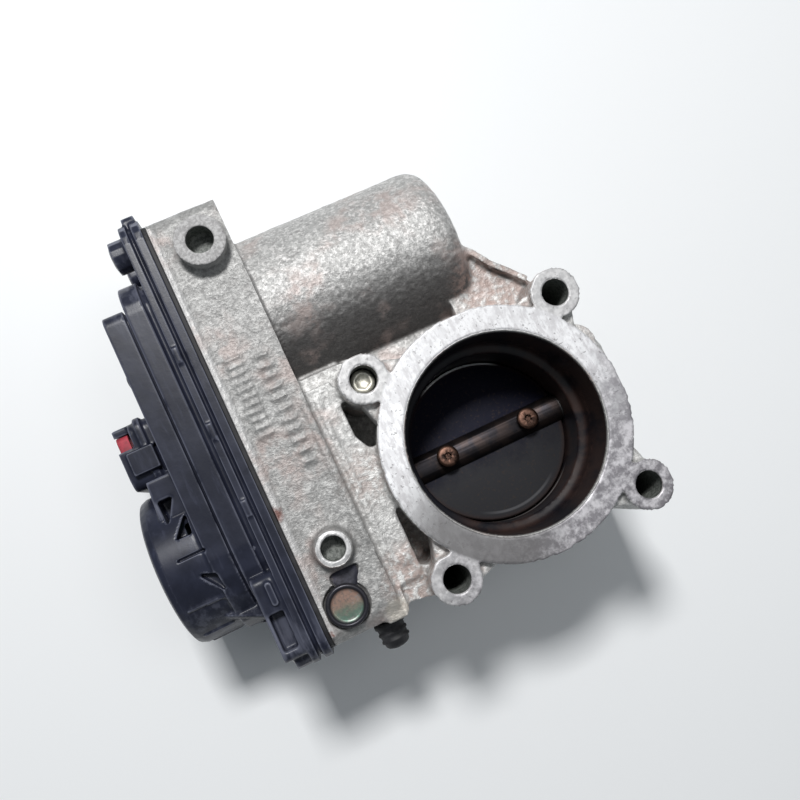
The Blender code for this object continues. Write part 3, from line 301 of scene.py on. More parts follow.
def machined_finish(paint, sand, grain, blotch, scuffs, upper_boss):
    """Colour of the machined faces: bright cuts, greyer lugs and bosses, pits, stains, and a darker lower
    part of the ring.
    """
    radius = paint.distance(BORE)
    color = paint.mix(paint.span(scuffs, 0.44, 0.60), *CUT)
    color = paint.over(paint.span(blotch, 0.50, 0.40), 0.4, color, CUT_BLOTCH)
    lugs = paint.mix(paint.span(grain, 0.38, 0.62), *LUGS)
    color = paint.over(paint.span(radius, 0.0310, 0.0318), 0.75, color, lugs)
    boss = paint.mix(paint.span(sand, 0.38, 0.62), *BOSS)
    color = paint.over(upper_boss, 0.85, color, boss)
    color = paint.over(paint.span(paint.noise(0.8, 2, 0.5), 0.655, 0.70), 0.65, color, PIT)

    # The stain grows across the ring, away from the motor, and the ring is darker towards its lower part.
    lean_x, lean_y = 0.71, 1.22
    across = paint.minus(paint.times(paint.part("X"), lean_x), paint.times(paint.part("Y"), lean_y))
    shade = paint.math("ADD", paint.scale(paint.noise(7.0, 4), -0.030, 0.030), across)
    middle = BORE.x * lean_x - BORE.y * lean_y
    film = paint.times(paint.span(shade, middle - 0.012, middle + 0.036), 0.90)
    stain = paint.mix(paint.span(paint.noise(2.6, 6, 0.7), 0.42, 0.66), *STAIN)
    color = paint.mix(film, color, stain)
    lower_darkening = paint.times(spot(paint, at(-18.0, -21.5, 0), 18.0, 9.0, flat=True),
                         paint.span(radius, 0.0318, 0.0308))
    color = paint.over(lower_darkening, 0.85, color, LOWER_RING_TONE)
    return paint.over(paint.span(paint.part("Y"), BORE.y + 0.008, BORE.y + 0.028), 0.28, color, UPPER_SHADE)


def bore_soot(paint, soot_noise):
    """Colour of the bore wall: black soot, brown on one side, with a band of painted highlight."""
    side = paint.math("ADD", paint.part("X"), paint.scale(soot_noise, -0.012, 0.012))
    right = paint.times(paint.span(side, BORE.x - 0.002, BORE.x + 0.020), 0.9)
    low_left = paint.times(paint.near(at(-8.0, -23.0, 0), 0.016, 0.006), 0.8)
    brown = paint.times(paint.most(right, low_left), paint.span(soot_noise, 0.34, 0.58))
    soot = paint.mix(brown, SOOT, BROWN_SOOT)
    # Painted highlight: a pale arc in the throat, on the lower side.
    highlight_band = paint.times(paint.band(paint.part("Z"), 0.0330, 0.0009),
                        paint.near(at(4.0, -22.0, 0), 0.0160, 0.0060))
    return paint.over(highlight_band, 0.45, soot, BORE_HIGHLIGHT)


def cast_aluminium():
    """Sand-textured casting, machined on its faces and sooted inside the bore."""
    paint = Paint("cast_aluminium_worn")
    sand = paint.noise(0.75, 4, 0.62)
    grain = paint.noise(1.7, 4, 0.62)
    blotch = paint.noise(4.5, 4)
    scuffs = paint.noise(1.3, 5, 0.72, stretch=(1.0, 0.4, 1.0))
    soot_noise = paint.noise(7.0, 5, stretch=(1.0, 1.0, 0.35))
    height = paint.part("Z")
    radius = paint.distance(BORE)

    # Masks: painted shade on the barrel's underside, and where the casting is machined, sooted, drilled or
    # recessed; the holes get painted shade and the recess a painted shadow.
    barrel = barrel_mask(paint)
    # Painted shade mask: 1 on the barrel's underside, where it faces away from the light.
    underside_shade = paint.times(paint.facing((0.0, -0.93, -0.37), -0.42, 0.20), barrel)
    wobble = paint.scale(paint.noise(1.6, 3), -0.00008, 0.00008)
    face = paint.span(paint.math("ADD", height, wobble), HEIGHT - 0.00030, HEIGHT - 0.00014)
    base = paint.span(height, 0.00030, 0.00014)
    lower_boss = paint.times(paint.span(height, 0.05660, 0.05675),
                             paint.near(at(*LOWER_BOSS, 0), 0.0056, 0.0052))
    machined = paint.most(face, base, lower_boss)
    upper_boss = paint.near(at(*UPPER_BOSS, 0), 0.0075, 0.0070)
    bore = paint.times(paint.span(radius, 0.0250, 0.0247), paint.span(height, 0.0577, 0.0571))
    holes = hole_mask(paint)
    # Painted shadow: the shallow recess beside the lower boss is painted dark blue-black.
    recess = paint.times(paint.span(height, 0.05330, 0.05300), spot(paint, at(-49.3, -14.6, 52.4), 3.6, 0.6))

    color = cast_skin(paint, sand, grain, blotch, barrel, underside_shade)
    color = paint.mix(machined, color, machined_finish(paint, sand, grain, blotch, scuffs, upper_boss))
    color = paint.mix(bore, color, bore_soot(paint, soot_noise))
    # Painted shade: the walls inside the holes are dark grey-green.
    color = paint.mix(holes, color, paint.mix(paint.span(sand, 0.40, 0.60), *HOLE_SHADE))
    # Tones of the painted shadow laid into the recess.
    shadow_tone = paint.mix(paint.span(grain, 0.40, 0.62), *RECESS_SHADOW)
    color = paint.over(recess, 0.92, color, shadow_tone)
    paint.set("Base Color", color)

    rough = paint.scale(sand, 0.66, 0.40)
    rough = paint.blend(machined, rough, paint.scale(scuffs, 0.40, 0.60))
    rough = paint.blend(upper_boss, rough, 0.72)
    rough = paint.blend(bore, rough, paint.scale(soot_noise, 0.30, 0.52))
    paint.set("Roughness", paint.blend(holes, rough, 0.6))

    clean = paint.minus(1.0, paint.most(bore, holes, recess))
    metal = paint.blend(machined, paint.scale(grain, 0.25, 0.60), 0.40)
    metal = paint.times(metal, paint.minus(1.0, paint.most(underside_shade, upper_boss)))
    paint.set("Metallic", paint.times(clean, metal))

    rough_cast = paint.times(clean, paint.minus(1.0, machined))
    turning = paint.math("SINE", paint.times(radius, 2 * math.pi / 0.00040))
    normal = paint.bump(paint.times(sand, rough_cast), 0.20, 0.9)
    normal = paint.bump(paint.times(grain, rough_cast), 0.42, 0.8, normal)
    normal = paint.bump(paint.times(turning, face), 0.005, 0.6, normal)
    paint.set("Normal", paint.bump(paint.times(scuffs, machined), 0.03, 0.5, normal))
    return paint.material


def toned(tone, gain, lift=0.0):
    """The tone made brighter or darker, channel by channel."""
    return tuple(channel * gain + lift for channel in tone)


def moulded_plastic(name, tone, sheen=(0.26, 0.42), gloss=0.5, highlight_spots=()):
    """Glass-filled plastic with a spark-eroded skin, painted shade in its corners, and edges made paler by
    wear and by painted highlights.

    sheen is the lowest and highest roughness, and the last argument lists (point, reach in mm) where a paler
    painted highlight is laid on.
    """
    paint = Paint(name)
    patch = paint.noise(9.0, 4)
    color = paint.mix(paint.span(patch, 0.38, 0.64), tone, toned(tone, 1.5))
    streak = paint.noise(2.0, 4, 0.65, stretch=(1.0, 0.15, 1.0))
    color = paint.over(paint.span(streak, 0.54, 0.70), 0.40, color, toned(tone, 2.6, 0.012))
    # Painted highlights: paler spots round the listed points.
    for point, reach in highlight_spots:
        painted_highlight = paint.times(spot(paint, at(*point), reach, reach * 0.7), paint.span(streak, 0.42, 0.62))
        color = paint.over(painted_highlight, 0.55, color, toned(tone, 3, 0.07))
    # Wear and painted highlight: convex edges are made paler.
    edge_wear_and_highlight = paint.times(paint.span(paint.edges(), 0.508, 0.555), paint.span(patch, 0.28, 0.48))
    color = paint.over(edge_wear_and_highlight, 0.75, color, toned(tone, 4, 0.10))
    # Painted shade darkens the concave corners.
    color = paint.over(paint.span(paint.edges(), 0.48, 0.43), 0.5, color, toned(tone, 0.35))
    paint.set("Base Color", color)
    paint.set("Roughness", paint.scale(patch, *sheen))
    paint.set("Specular IOR Level", gloss)
    normal = paint.bump(paint.noise(0.30, 3), 0.022, 0.7)
    paint.set("Normal", paint.bump(paint.noise(4.0, 3, 0.5), 0.07, 0.5, normal))
    return paint.material


def worn_metal(name, tone, dark, roughness, grain_mm=0.8, stretch=(1, 1, 1), metallic=1.0, dirt=0.5):
    """Metal with a fine grain, darker patches, and grime with painted shade in its corners."""
    paint = Paint(name, metallic)
    grain = paint.noise(grain_mm, 4, 0.65, stretch=stretch)
    patch = paint.noise(grain_mm * 5, 3)
    color = paint.mix(paint.span(grain, 0.36, 0.64), tone, toned(tone, 0.70))
    color = paint.over(paint.span(patch, 0.46, 0.64), dirt, color, dark)
    # Grime and painted shade darken the concave corners.
    color = paint.over(paint.span(paint.edges(), 0.48, 0.40), 0.6, color, toned(dark, 0.4))
    paint.set("Base Color", color)
    paint.set("Roughness", paint.scale(patch, roughness * 0.75, roughness * 1.3))
    paint.set("Normal", paint.bump(grain, 0.02, 0.5))
    return paint.material


def rubber(name, tone, bloom_gain=1.7):
    """Matt rubber with a paler bloom and specks of dirt."""
    paint = Paint(name)
    bloom = paint.noise(3.0, 4)
    color = paint.mix(paint.span(bloom, 0.42, 0.66), tone, toned(tone, bloom_gain, 0.008))
    color = paint.over(paint.span(paint.noise(1.2, 4), 0.56, 0.72), 0.35, color, toned(tone, 0.3))
    paint.set("Base Color", color)
    paint.set("Roughness", paint.scale(bloom, 0.50, 0.78))
    paint.set("Normal", paint.bump(paint.noise(0.3, 3), 0.025, 0.6))
    return paint.material


def plug_paint():
    """Plated cup plug: coppery on one side, greenish on the other, dark round its rim."""
    greenish, coppery, rim = (0.14, 0.23, 0.18), (0.36, 0.23, 0.18), (0.032, 0.031, 0.038)
    dull, grey = (0.16, 0.15, 0.14), (0.30, 0.29, 0.28)
    paint = Paint("wall_plug_plating", 0.55)
    patch = paint.noise(2.2, 4, 0.62)
    fine = paint.noise(0.6, 4)
    side = paint.math("ADD", paint.part("Y"), paint.scale(patch, -0.0028, 0.0028))
    middle = at(0, -21.4, 0).y
    disc = paint.mix(paint.span(side, middle - 0.0024, middle + 0.0024), greenish, coppery)
    disc = paint.over(paint.span(fine, 0.44, 0.66), 0.60, disc, dull)
    disc = paint.over(paint.span(patch, 0.54, 0.64), 0.55, disc, grey)
    radius = paint.distance(at(*WALL_PLUG, 0))
    paint.set("Base Color", paint.mix(paint.span(radius, 0.0036, 0.0041), disc, rim))
    paint.set("Roughness", paint.scale(patch, 0.24, 0.5))
    paint.set("Normal", paint.bump(fine, 0.05, 0.6))
    return paint.material


def sooty_brass():
    """The plate: brass under dark deposits, with painted shadow making its upper half near black and its
    lower half paler, and a painted highlight along its rim.
    """
    black, grey, brown = (0.003, 0.0033, 0.011), (0.024, 0.024, 0.027), (0.050, 0.034, 0.024)
    brown_edge, rim_highlight, ring_mark = (0.030, 0.015, 0.011), (0.80, 0.80, 0.79), (0.20, 0.20, 0.21)
    paint = Paint("throttle_plate_sooted", 0.25)
    film = paint.noise(7.0, 5, 0.62)
    fine = paint.noise(0.8, 4)
    # Painted shadow: the upper half, which the bore wall shadows, is near black; the lower half is paler
    # grey.
    side = paint.math("ADD", paint.part("Y"), paint.scale(film, -0.008, 0.008))
    color = paint.mix(paint.span(side, BORE.y + 0.002, BORE.y - 0.010), black, grey)
    color = paint.over(paint.span(fine, 0.54, 0.72), 0.35, color, brown)
    radius = paint.distance(BORE)
    color = paint.over(paint.span(radius, 0.0200, 0.0214), 0.5, color, brown_edge)
    # Painted highlight: a pale arc along the upper part of the rim.
    painted_highlight = paint.times(paint.span(radius, 0.0209, 0.0212),
                         paint.near(at(1.0, 21.5, 0), 0.0130, 0.0080))
    color = paint.mix(painted_highlight, color, rim_highlight)
    mark = paint.times(paint.band(radius, 0.0196, 0.0005),
                       paint.near(at(1.5, -20.0, 0), 0.0130, 0.0050))
    paint.set("Base Color", paint.over(mark, 0.30, color, ring_mark))
    paint.set("Specular IOR Level", 0.12)
    paint.set("Roughness", paint.scale(film, 0.38, 0.56))
    paint.set("Normal", paint.bump(fine, 0.03, 0.5))
    return paint.material


def sooty_shaft():
    """Shaft: soot where it crosses the bore, clean turned steel in the gearbox and bearings."""
    bright, grey = (0.56, 0.56, 0.57), (0.40, 0.40, 0.41)
    black, brown = (0.022, 0.020, 0.023), (0.044, 0.033, 0.031)
    paint = Paint("throttle_shaft_sooted", 0.85)
    lines = paint.noise(0.9, 4, 0.65, stretch=(3.0, 0.4, 0.4))
    patch = paint.noise(4.0, 4)
    along = paint.math("ABSOLUTE", paint.minus(paint.part("X"), BORE.x))
    inside = paint.span(along, 0.0228, 0.0216)
    clean = paint.mix(paint.span(lines, 0.40, 0.62), bright, grey)
    soot = paint.mix(paint.span(patch, 0.40, 0.62), black, brown)
    paint.set("Base Color", paint.mix(inside, clean, soot))
    paint.set("Roughness", paint.blend(inside, 0.28, paint.scale(patch, 0.34, 0.55)))
    paint.set("Normal", paint.bump(lines, 0.02, 0.5))
    return paint.material


CAST = cast_aluminium()
# Painted highlights on the cover: the clip block, the pan's rounded end and the rib by the tower.
COVER_HIGHLIGHTS = (((-66.0, -25.0, 51.0), 9.0), ((-70.0, 70.0, 46.0), 9.0), ((-82.0, -12.0, 42.0), 7.0))
COVER_TONE = (0.0135, 0.0155, 0.027)
PLASTIC = moulded_plastic("black_plastic_moulded", COVER_TONE, gloss=0.30, highlight_spots=COVER_HIGHLIGHTS)
DARK_RUBBER = rubber("black_rubber_moulded", (0.010, 0.010, 0.012))
RED_SILICONE = rubber("red_silicone_moulded", (0.26, 0.022, 0.036), 1.6)
STEEL = worn_metal("steel_turned", (0.56, 0.56, 0.57), (0.30, 0.27, 0.25), 0.30)
SCREW_STEEL = worn_metal("screw_steel_plated", (0.34, 0.33, 0.33), (0.12, 0.10, 0.09), 0.36, 0.6)
DOWEL_STEEL = worn_metal("dowel_steel_worn", (0.86, 0.83, 0.72), (0.50, 0.46, 0.38), 0.40, 0.9, metallic=0.7)
SPRING_STEEL = worn_metal("spring_steel_wire", (0.30, 0.30, 0.32), (0.12, 0.11, 0.10), 0.34)
COPPERED = worn_metal("coppery_screw_plating", (0.11, 0.062, 0.046), (0.014, 0.010, 0.009), 0.44, 0.7,
                      dirt=0.95)
SHAFT_STEEL = sooty_shaft()
BRASS = worn_metal("terminal_brass", (0.62, 0.45, 0.17), (0.35, 0.24, 0.10), 0.28)
MAGNET = worn_metal("sintered_ferrite", (0.09, 0.09, 0.10), (0.05, 0.05, 0.05), 0.6, metallic=0.3)
GEAR_PLASTIC = moulded_plastic("gear_plastic_moulded", (0.40, 0.38, 0.32), (0.38, 0.52))
WINDING = worn_metal("copper_winding_lacquer", (0.55, 0.26, 0.12), (0.22, 0.10, 0.05), 0.30, 0.4,
                     stretch=(1, 6, 6))
BOARD = moulded_plastic("circuit_board_green", (0.03, 0.16, 0.07))
PLUG = plug_paint()
PLATE = sooty_brass()


# -------- mesh helpers

def new_piece(name, bm, material, body, node, sharp=None):
    """Turn a bmesh into a named piece that rides on a body and stands for a CAD node.

    Edges sharper than the angle sharp, in degrees, stay crisp; with None, none do.
    """
    piece = object_from(bm, name)
    piece.data.materials.append(material)
    piece.data.shade_smooth()
    if sharp is not None:
        piece.data.set_sharp_from_angle(angle=math.radians(sharp))
    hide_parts(node)
    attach(piece, body)
    return piece


def evaluated_bmesh(obj):
    """The object's mesh with its modifiers applied, as a bmesh; the object is then removed."""
    depsgraph = bpy.context.evaluated_depsgraph_get()
    mesh = bpy.data.meshes.new_from_object(obj.evaluated_get(depsgraph))
    bm = bmesh.new()
    bm.from_mesh(mesh)
    bpy.data.objects.remove(obj)
    return bm


def welded_copy(node):
    """A CAD node's mesh as a bmesh, with the points of neighbouring faces joined."""
    bm = bmesh.new()
    bm.from_mesh(frame["nodes"][node].data)
    bmesh.ops.remove_doubles(bm, verts=bm.verts, dist=1e-6)
    return bm


def object_from(bm, name="working"):
    """Put a bmesh into the scene as an object."""
    mesh = bpy.data.meshes.new(name)
    bm.to_mesh(mesh)
    bm.free()
    obj = bpy.data.objects.new(name, mesh)
    bpy.context.scene.collection.objects.link(obj)
    return obj


def remeshed(bm, voxel_mm, smooth_steps):
    """Voxel remesh that fuses all closed shells, then a light smoothing that rounds every edge."""
    obj = object_from(bm)
    remesh = obj.modifiers.new("remesh", "REMESH")
    remesh.mode = "VOXEL"
    remesh.voxel_size = voxel_mm * MM
    remesh.use_smooth_shade = True
    smooth = obj.modifiers.new("smooth", "SMOOTH")
    smooth.factor = 0.5
    smooth.iterations = smooth_steps
    return evaluated_bmesh(obj)


def add_skin(bm, rings):
    """Side faces through rings of points; returns the rings' vertices."""
    loops = [[bm.verts.new(point) for point in points] for points in rings]
    count = len(loops[0])
    for first, second in zip(loops, loops[1:]):
        for i in range(count):
            j = (i + 1) % count
            bm.faces.new((first[i], first[j], second[j], second[i]))
    return loops


def add_loft(bm, rings):
    """Closed shape through rings of points, with flat ends."""
    loops = add_skin(bm, rings)
    bm.faces.new(list(reversed(loops[0])))
    bm.faces.new(loops[-1])


def ring(centre, axis, radius, count, wave=0.0, lobes=0, along=0.0):
    """Circle of points about an axis, in metres; a wave with lobes turns it into a star."""
    u, v, w = frame_of(axis)
    points = []
    for i in range(count):
        angle = 2 * math.pi * i / count
        r = radius + wave * math.cos(lobes * angle)
        points.append(centre + w * along + u * (r * math.cos(angle)) + v * (r * math.sin(angle)))
    return points


def frame_of(axis):
    """Three unit vectors at right angles, the last along the axis."""
    w = Vector(axis).normalized()
    helper = Vector(UP) if abs(w.z) < 0.9 else Vector((1, 0, 0))
    u = helper.cross(w).normalized()
    return u, w.cross(u), w


def centre_of(node):
    low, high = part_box(node)
    return (low + high) / 2


def end_of(node, axis_letter, side):
    """Centre of one end of a turned node, and its length and radius in millimetres.

    side is -1 for the end where the coordinate is lowest, and 1 for the other.
    """
    low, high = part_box(node)
    index = "XYZ".index(axis_letter)
    end = (low + high) / 2
    end[index] = (low if side < 0 else high)[index]
    size = (high - low) / MM
    return end, size[index], size[(index + 1) % 3] / 2


def round_edges(obj, width_mm, segments):
    bevel = obj.modifiers.new("edges", "BEVEL")
    bevel.width = width_mm * MM
    bevel.segments = segments
    bevel.angle_limit = math.radians(EDGE_ANGLE)


# -------- casting

def add_bar(bm, x, y, z, taper=0.0):
    """Closed box given in millimetres in the bore frame; taper draws its foot in along X."""
    rings = []
    for height, inset in ((z[0], taper), (z[1], 0.0)):
        low, high = at(x[0] + inset, y[0], height), at(x[1] - inset, y[1], height)
        corners = ((low.x, low.y), (high.x, low.y), (high.x, high.y), (low.x, high.y))
        rings.append([Vector((px, py, low.z)) for px, py in corners])
    add_loft(bm, rings)


def add_drum(bm, centre, axis, radius_mm, length_mm, count=32):
    """Closed cylinder that starts at centre and runs along axis."""
    add_loft(bm, [ring(centre, axis, radius_mm * MM, count, along=along * MM) for along in (0.0, length_mm)])


def snap_round(bm, centre, axis_letter, radius_mm, low_mm, high_mm, reach_mm=0.18):
    """Move points within reach of a turned surface on to it, so it is round again.

    low_mm and high_mm are where the surface starts and ends along the axis, from centre.
    """
    index = "XYZ".index(axis_letter)
    u, v = [i for i in range(3) if i != index]
    low, high = centre[index] + low_mm * MM, centre[index] + high_mm * MM
    for vert in bm.verts:
        if low <= vert.co[index] <= high:
            du, dv = vert.co[u] - centre[u], vert.co[v] - centre[v]
            distance = math.hypot(du, dv)
            if distance and abs(distance - radius_mm * MM) < reach_mm * MM:
                vert.co[u] = centre[u] + du * radius_mm * MM / distance
                vert.co[v] = centre[v] + dv * radius_mm * MM / distance


def snap_flat(bm, height_mm, reach_mm=0.14):
    """Move points within reach of a level face on to it."""
    for vert in bm.verts:
        if abs(vert.co.z - height_mm * MM) < reach_mm * MM:
            vert.co.z = height_mm * MM


def on_circle(y, z, radius, degrees):
    """Y and Z of a point on a circle across X."""
    angle = math.radians(degrees)
    return y + radius * math.cos(angle), z + radius * math.sin(angle)


# Rows of plain bars on the tray's top, in place of cast marks: both ends in X, first and last Y, pitch.
MARK_ROWS = ((-54.4, -50.4, 24.0, 44.0, 2.0), (-47.4, -44.0, 14.0, 42.0, 2.8))


def add_casting_details(bm):
    """Small cast features that are too fine for the CAD solid."""
    add_bar(bm, (-58.1, -56.9), (-26.5, 82.0), (53.0, 54.0))  # raised rim along the seal
    add_bar(bm, (-41.9, -40.8), (-9.0, 28.5), (53.0, 53.9))  # rim along the back edge
    add_bar(bm, (-38.4, -37.4), (-16.0, 27.0), (50.2, 51.3))  # line on the ledge
    add_bar(bm, (-50.0, 7.0), (MOTOR_Y + 21.5, MOTOR_Y + 22.7), (29.1, 29.9))  # mould's parting line
    for y in (MOTOR_Y - 8.0, MOTOR_Y + 8.0):  # ribs under the motor barrel
        add_bar(bm, (-41.0, 9.0), (y - 0.8, y + 0.8), (6.8, 14.0), taper=9.0)
    for y in (-17.0, -5.5, 5.5, 17.0):  # ribs behind the gear tray
        add_bar(bm, (-41.0, -24.0), (y - 0.8, y + 0.8), (8.0, 18.0), taper=3.0)
    for x, y in ((-34.6, -17.0), (-35.6, 22.0)):  # ejector marks on the ledge
        add_drum(bm, at(x, y, 50.0), UP, 1.5, 1.1)
    for degrees in (20, 200, 290):  # and on the motor's end
        y, z = on_circle(MOTOR_Y, AXES_Z, 11.0, degrees)
        add_drum(bm, at(12.6, y, z), (1, 0, 0), 2.2, 1.15)
    for x0, x1, first, last, pitch in MARK_ROWS:
        for step in range(int((last - first) / pitch) + 1):
            y = first + step * pitch
            add_bar(bm, (x0, x1), (y - 0.4, y + 0.4), (52.8, 54.0))
    add_drum(bm, at(26.6, 12.4, 44.0), UP, 5.4, 9.6)  # lump under the ring's edge
    add_bar(bm, (-44.8, -39.4), (-29.6, -25.6), (45.0, 52.6))  # block over the spigot


# Turned surfaces about the bore axis: radius, and where they start and end in height.
BORE_SURFACES = (
    (24.5, 43.0, 57.6),    # inlet
    (22.0, 15.5, 42.5),    # throat
    (23.5, 0.0, 15.0),     # outlet
    (31.3, 49.6, 58.0),    # flange ring
    (31.3, 0.0, 8.4),      # engine-side flange
    (28.6, 11.0, 47.0),    # outside of the barrel
)


def restore_machined_surfaces(bm):
    """Make the turned and machined surfaces round and flat again after the remesh."""
    for radius, low, high in BORE_SURFACES:
        snap_round(bm, BORE, "Z", radius, low, high)
    for x, y in COLUMNS:
        snap_round(bm, at(x, y, 0), "Z", HOLE_RADIUS, 0.0, 58.0, 0.22)
        snap_round(bm, at(x, y, 0), "Z", COLUMN_RADIUS, 0.0, 58.0)
    snap_round(bm, at(*UPPER_BOSS, 0), "Z", HOLE_RADIUS, 52.0, 58.0, 0.25)
    snap_round(bm, at(*UPPER_BOSS, 0), "Z", COLUMN_RADIUS, 53.8, 58.0, 0.25)
    snap_round(bm, at(*LOWER_BOSS, 0), "Z", 3.0, 52.2, 57.0, 0.25)
    snap_round(bm, at(0, MOTOR_Y, AXES_Z), "X", 22.4, -40.0, 8.0)  # motor barrel
    snap_round(bm, at(0, 0, AXES_Z), "X", 12.0, 24.0, 37.8)  # boss at the shaft's far end
    snap_flat(bm, HEIGHT / MM)
    snap_flat(bm, 0.0)


def is_cast(co):
    """True for the rough skin; false on machined faces, in the bore, the holes and the gear tray."""
    x, y, z = (co - BORE) / MM
    machined = z > 57.6 or z < 0.4
    in_bore = math.hypot(x, y) < 26.0
    at_seal = x < -57.9
    in_hole = any(math.hypot(x - hole_x, y - hole_y) < 3.7 for hole_x, hole_y, _ in HOLES)
    in_tray = x < -42.5 and -21.9 < y < 72.9 and 4.4 < z < 51.1
    return not (machined or in_bore or at_seal or in_hole or in_tray)


def add_relief(piece, group, size_mm, depth_mm):
    """Uneven skin: moves the group's points inward by up to depth_mm, never outward."""
    texture = bpy.data.textures.new(f"{piece.name}_skin_{size_mm}", "CLOUDS")
    texture.noise_scale = size_mm * MM
    texture.noise_depth = 3
    modifier = piece.modifiers.new("skin", "DISPLACE")
    modifier.texture = texture
    modifier.texture_coords = "LOCAL"
    modifier.vertex_group = group.name
    modifier.strength = depth_mm * MM
    modifier.mid_level = 1.0


def make_casting():
    bm = welded_copy("throttle_housing")
    add_casting_details(bm)
    bm = remeshed(bm, voxel_mm=0.5, smooth_steps=3)
    restore_machined_surfaces(bm)
    bm.verts.index_update()
    skin = [vert.index for vert in bm.verts if is_cast(vert.co)]
    piece = new_piece("housing_casting", bm, CAST, "housing", "throttle_housing")
    group = piece.vertex_groups.new(name="skin")
    group.add(skin, 1.0, "REPLACE")
    add_relief(piece, group, size_mm=1.3, depth_mm=0.18)
    add_relief(piece, group, size_mm=7.0, depth_mm=0.30)


# -------- cover

def add_cover_details(bm):
    """Ribs, pads and moulding marks that are too fine for the CAD solid."""
    for z in (14.0, 19.0, 24.0, 34.0, 39.0, 44.0):  # ribs on the outer face
        add_bar(bm, (-77.8, -76.9), (46.0, 63.5), (z - 0.45, z + 0.45))
    add_bar(bm, (-77.8, -76.9), (46.0, 46.9), (13.5, 44.5))
    add_bar(bm, (-77.8, -76.9), (62.6, 63.5), (13.5, 44.5))
    for y, z in ((50.0, 48.0), (27.0, 12.5)):  # injection points
        add_drum(bm, at(-77.0, y, z), (-1, 0, 0), 1.3, 0.6)
    for degrees in range(120, 330, 30):  # grip ribs round the sensor tower
        y, z = on_circle(TOWER_Y, AXES_Z, 19.9, degrees)
        add_drum(bm, at(-79.0, y, z), (-1, 0, 0), 0.55, 8.0, 12)
    add_bar(bm, (-82.0, -75.5), (-7.0, 2.0), (46.25, 46.95))  # floor of the pocket on the tower
    for y in (10.0, 30.0, 50.0):  # clips along the rim
        for z0, z1 in ((53.2, 54.8), (0.2, 1.4)):
            add_bar(bm, (-64.4, -63.0), (y - 2.0, y + 2.0), (z0, z1))


def make_cover():
    bm = welded_copy("gearbox_cover")
    add_cover_details(bm)
    bm = remeshed(bm, voxel_mm=0.34, smooth_steps=2)
    snap_round(bm, at(0, TOWER_Y, AXES_Z), "X", 20.0, -88.0, -78.5, 0.14)
    snap_round(bm, at(0, TOWER_Y, AXES_Z), "X", 16.0, -89.5, -84.5, 0.14)
    new_piece("cover_moulding", bm, PLASTIC, "housing", "gearbox_cover")


SEAL_STRETCH = 2.4       # thickness of the visible seal over the CAD seal's


def make_cover_seal():
    """Seal squeezed between the cover and the tray, as thick as the joint is wide, with round edges."""
    bm = welded_copy("cover_seal")
    middle = centre_of("cover_seal").x
    for vert in bm.verts:
        vert.co.x = middle + (vert.co.x - middle) * SEAL_STRETCH
    piece = new_piece("cover_seal_moulded", bm, DARK_RUBBER, "housing", "cover_seal",
                      EDGE_ANGLE)
    round_edges(piece, width_mm=0.2, segments=3)


# -------- fasteners and fittings

def lobed_lathe(centre, axis, profile, star, count=72):
    """Closed turned shape as a bmesh, from (distance along the axis, radius) in millimetres.

    star gives some of the profile's rings, by number, a wave in millimetres and its lobes.
    """
    bm = bmesh.new()
    rings = []
    for index, (along, radius) in enumerate(profile):
        wave, lobes = star.get(index, (0.0, 0))
        rings.append(ring(centre, axis, radius * MM, count, wave * MM, lobes, along * MM))
    loops = add_skin(bm, rings)
    _, _, w = frame_of(axis)
    for loop, along in ((loops[0], profile[0][0]), (loops[-1], profile[-1][0])):
        tip = bm.verts.new(centre + w * along * MM)
        for i in range(count):
            bm.faces.new((loop[i], loop[(i + 1) % count], tip))
    bmesh.ops.recalc_face_normals(bm, faces=bm.faces)
    return bm


def add_fitting(node, bm, material, sharp=None, body="housing"):
    """Detailed piece that stands for a small CAD node."""
    new_piece(f"{node}_detailed", bm, material, body, node, sharp)


def screw(end, axis, head_radius, head_height, shank_radius, length, socket_radius, socket_depth, pitch=0.7):
    """Screw as a bmesh, from its head's face at end: star socket, domed head, grooved shank, point."""
    socket = [(socket_depth, 0.20), (socket_depth, socket_radius), (0.16, socket_radius),
              (0.0, socket_radius + 0.16)]
    star = {1: (0.24, 6), 2: (0.24, 6)}
    head = [(0.0, head_radius * 0.72), (0.10, head_radius * 0.84), (0.30, head_radius * 0.95),
            (0.62, head_radius), (head_height - 0.10, head_radius), (head_height, head_radius - 0.10),
            (head_height, shank_radius + 0.15), (head_height + 0.25, shank_radius)]
    shank = []
    along = head_height + 0.5
    while along < length - 1.0:
        shank += [(along, shank_radius), (along + pitch * 0.45, shank_radius - 0.16)]
        along += pitch
    shank += [(length - 0.6, shank_radius), (length, shank_radius - 0.45)]
    return lobed_lathe(end, axis, socket + head + shank, star)


def turn_about(bm, centre, axis, degrees):
    bmesh.ops.rotate(bm, verts=bm.verts, cent=centre, matrix=Matrix.Rotation(math.radians(degrees), 3, axis))


def make_cover_screws():
    """The cover's screws, each turned by its own angle."""
    for number in range(1, 7):
        name = f"cover_screw_{number}"
        face, length, _ = end_of(name, "X", -1)
        bm = screw(face, (1, 0, 0), head_radius=3.35, head_height=1.9, shank_radius=1.4, length=length,
                   socket_radius=1.15, socket_depth=1.15)
        turn_about(bm, face, (1, 0, 0), 17.0 * number)
        add_fitting(name, bm, SCREW_STEEL, SCREW_ANGLE)


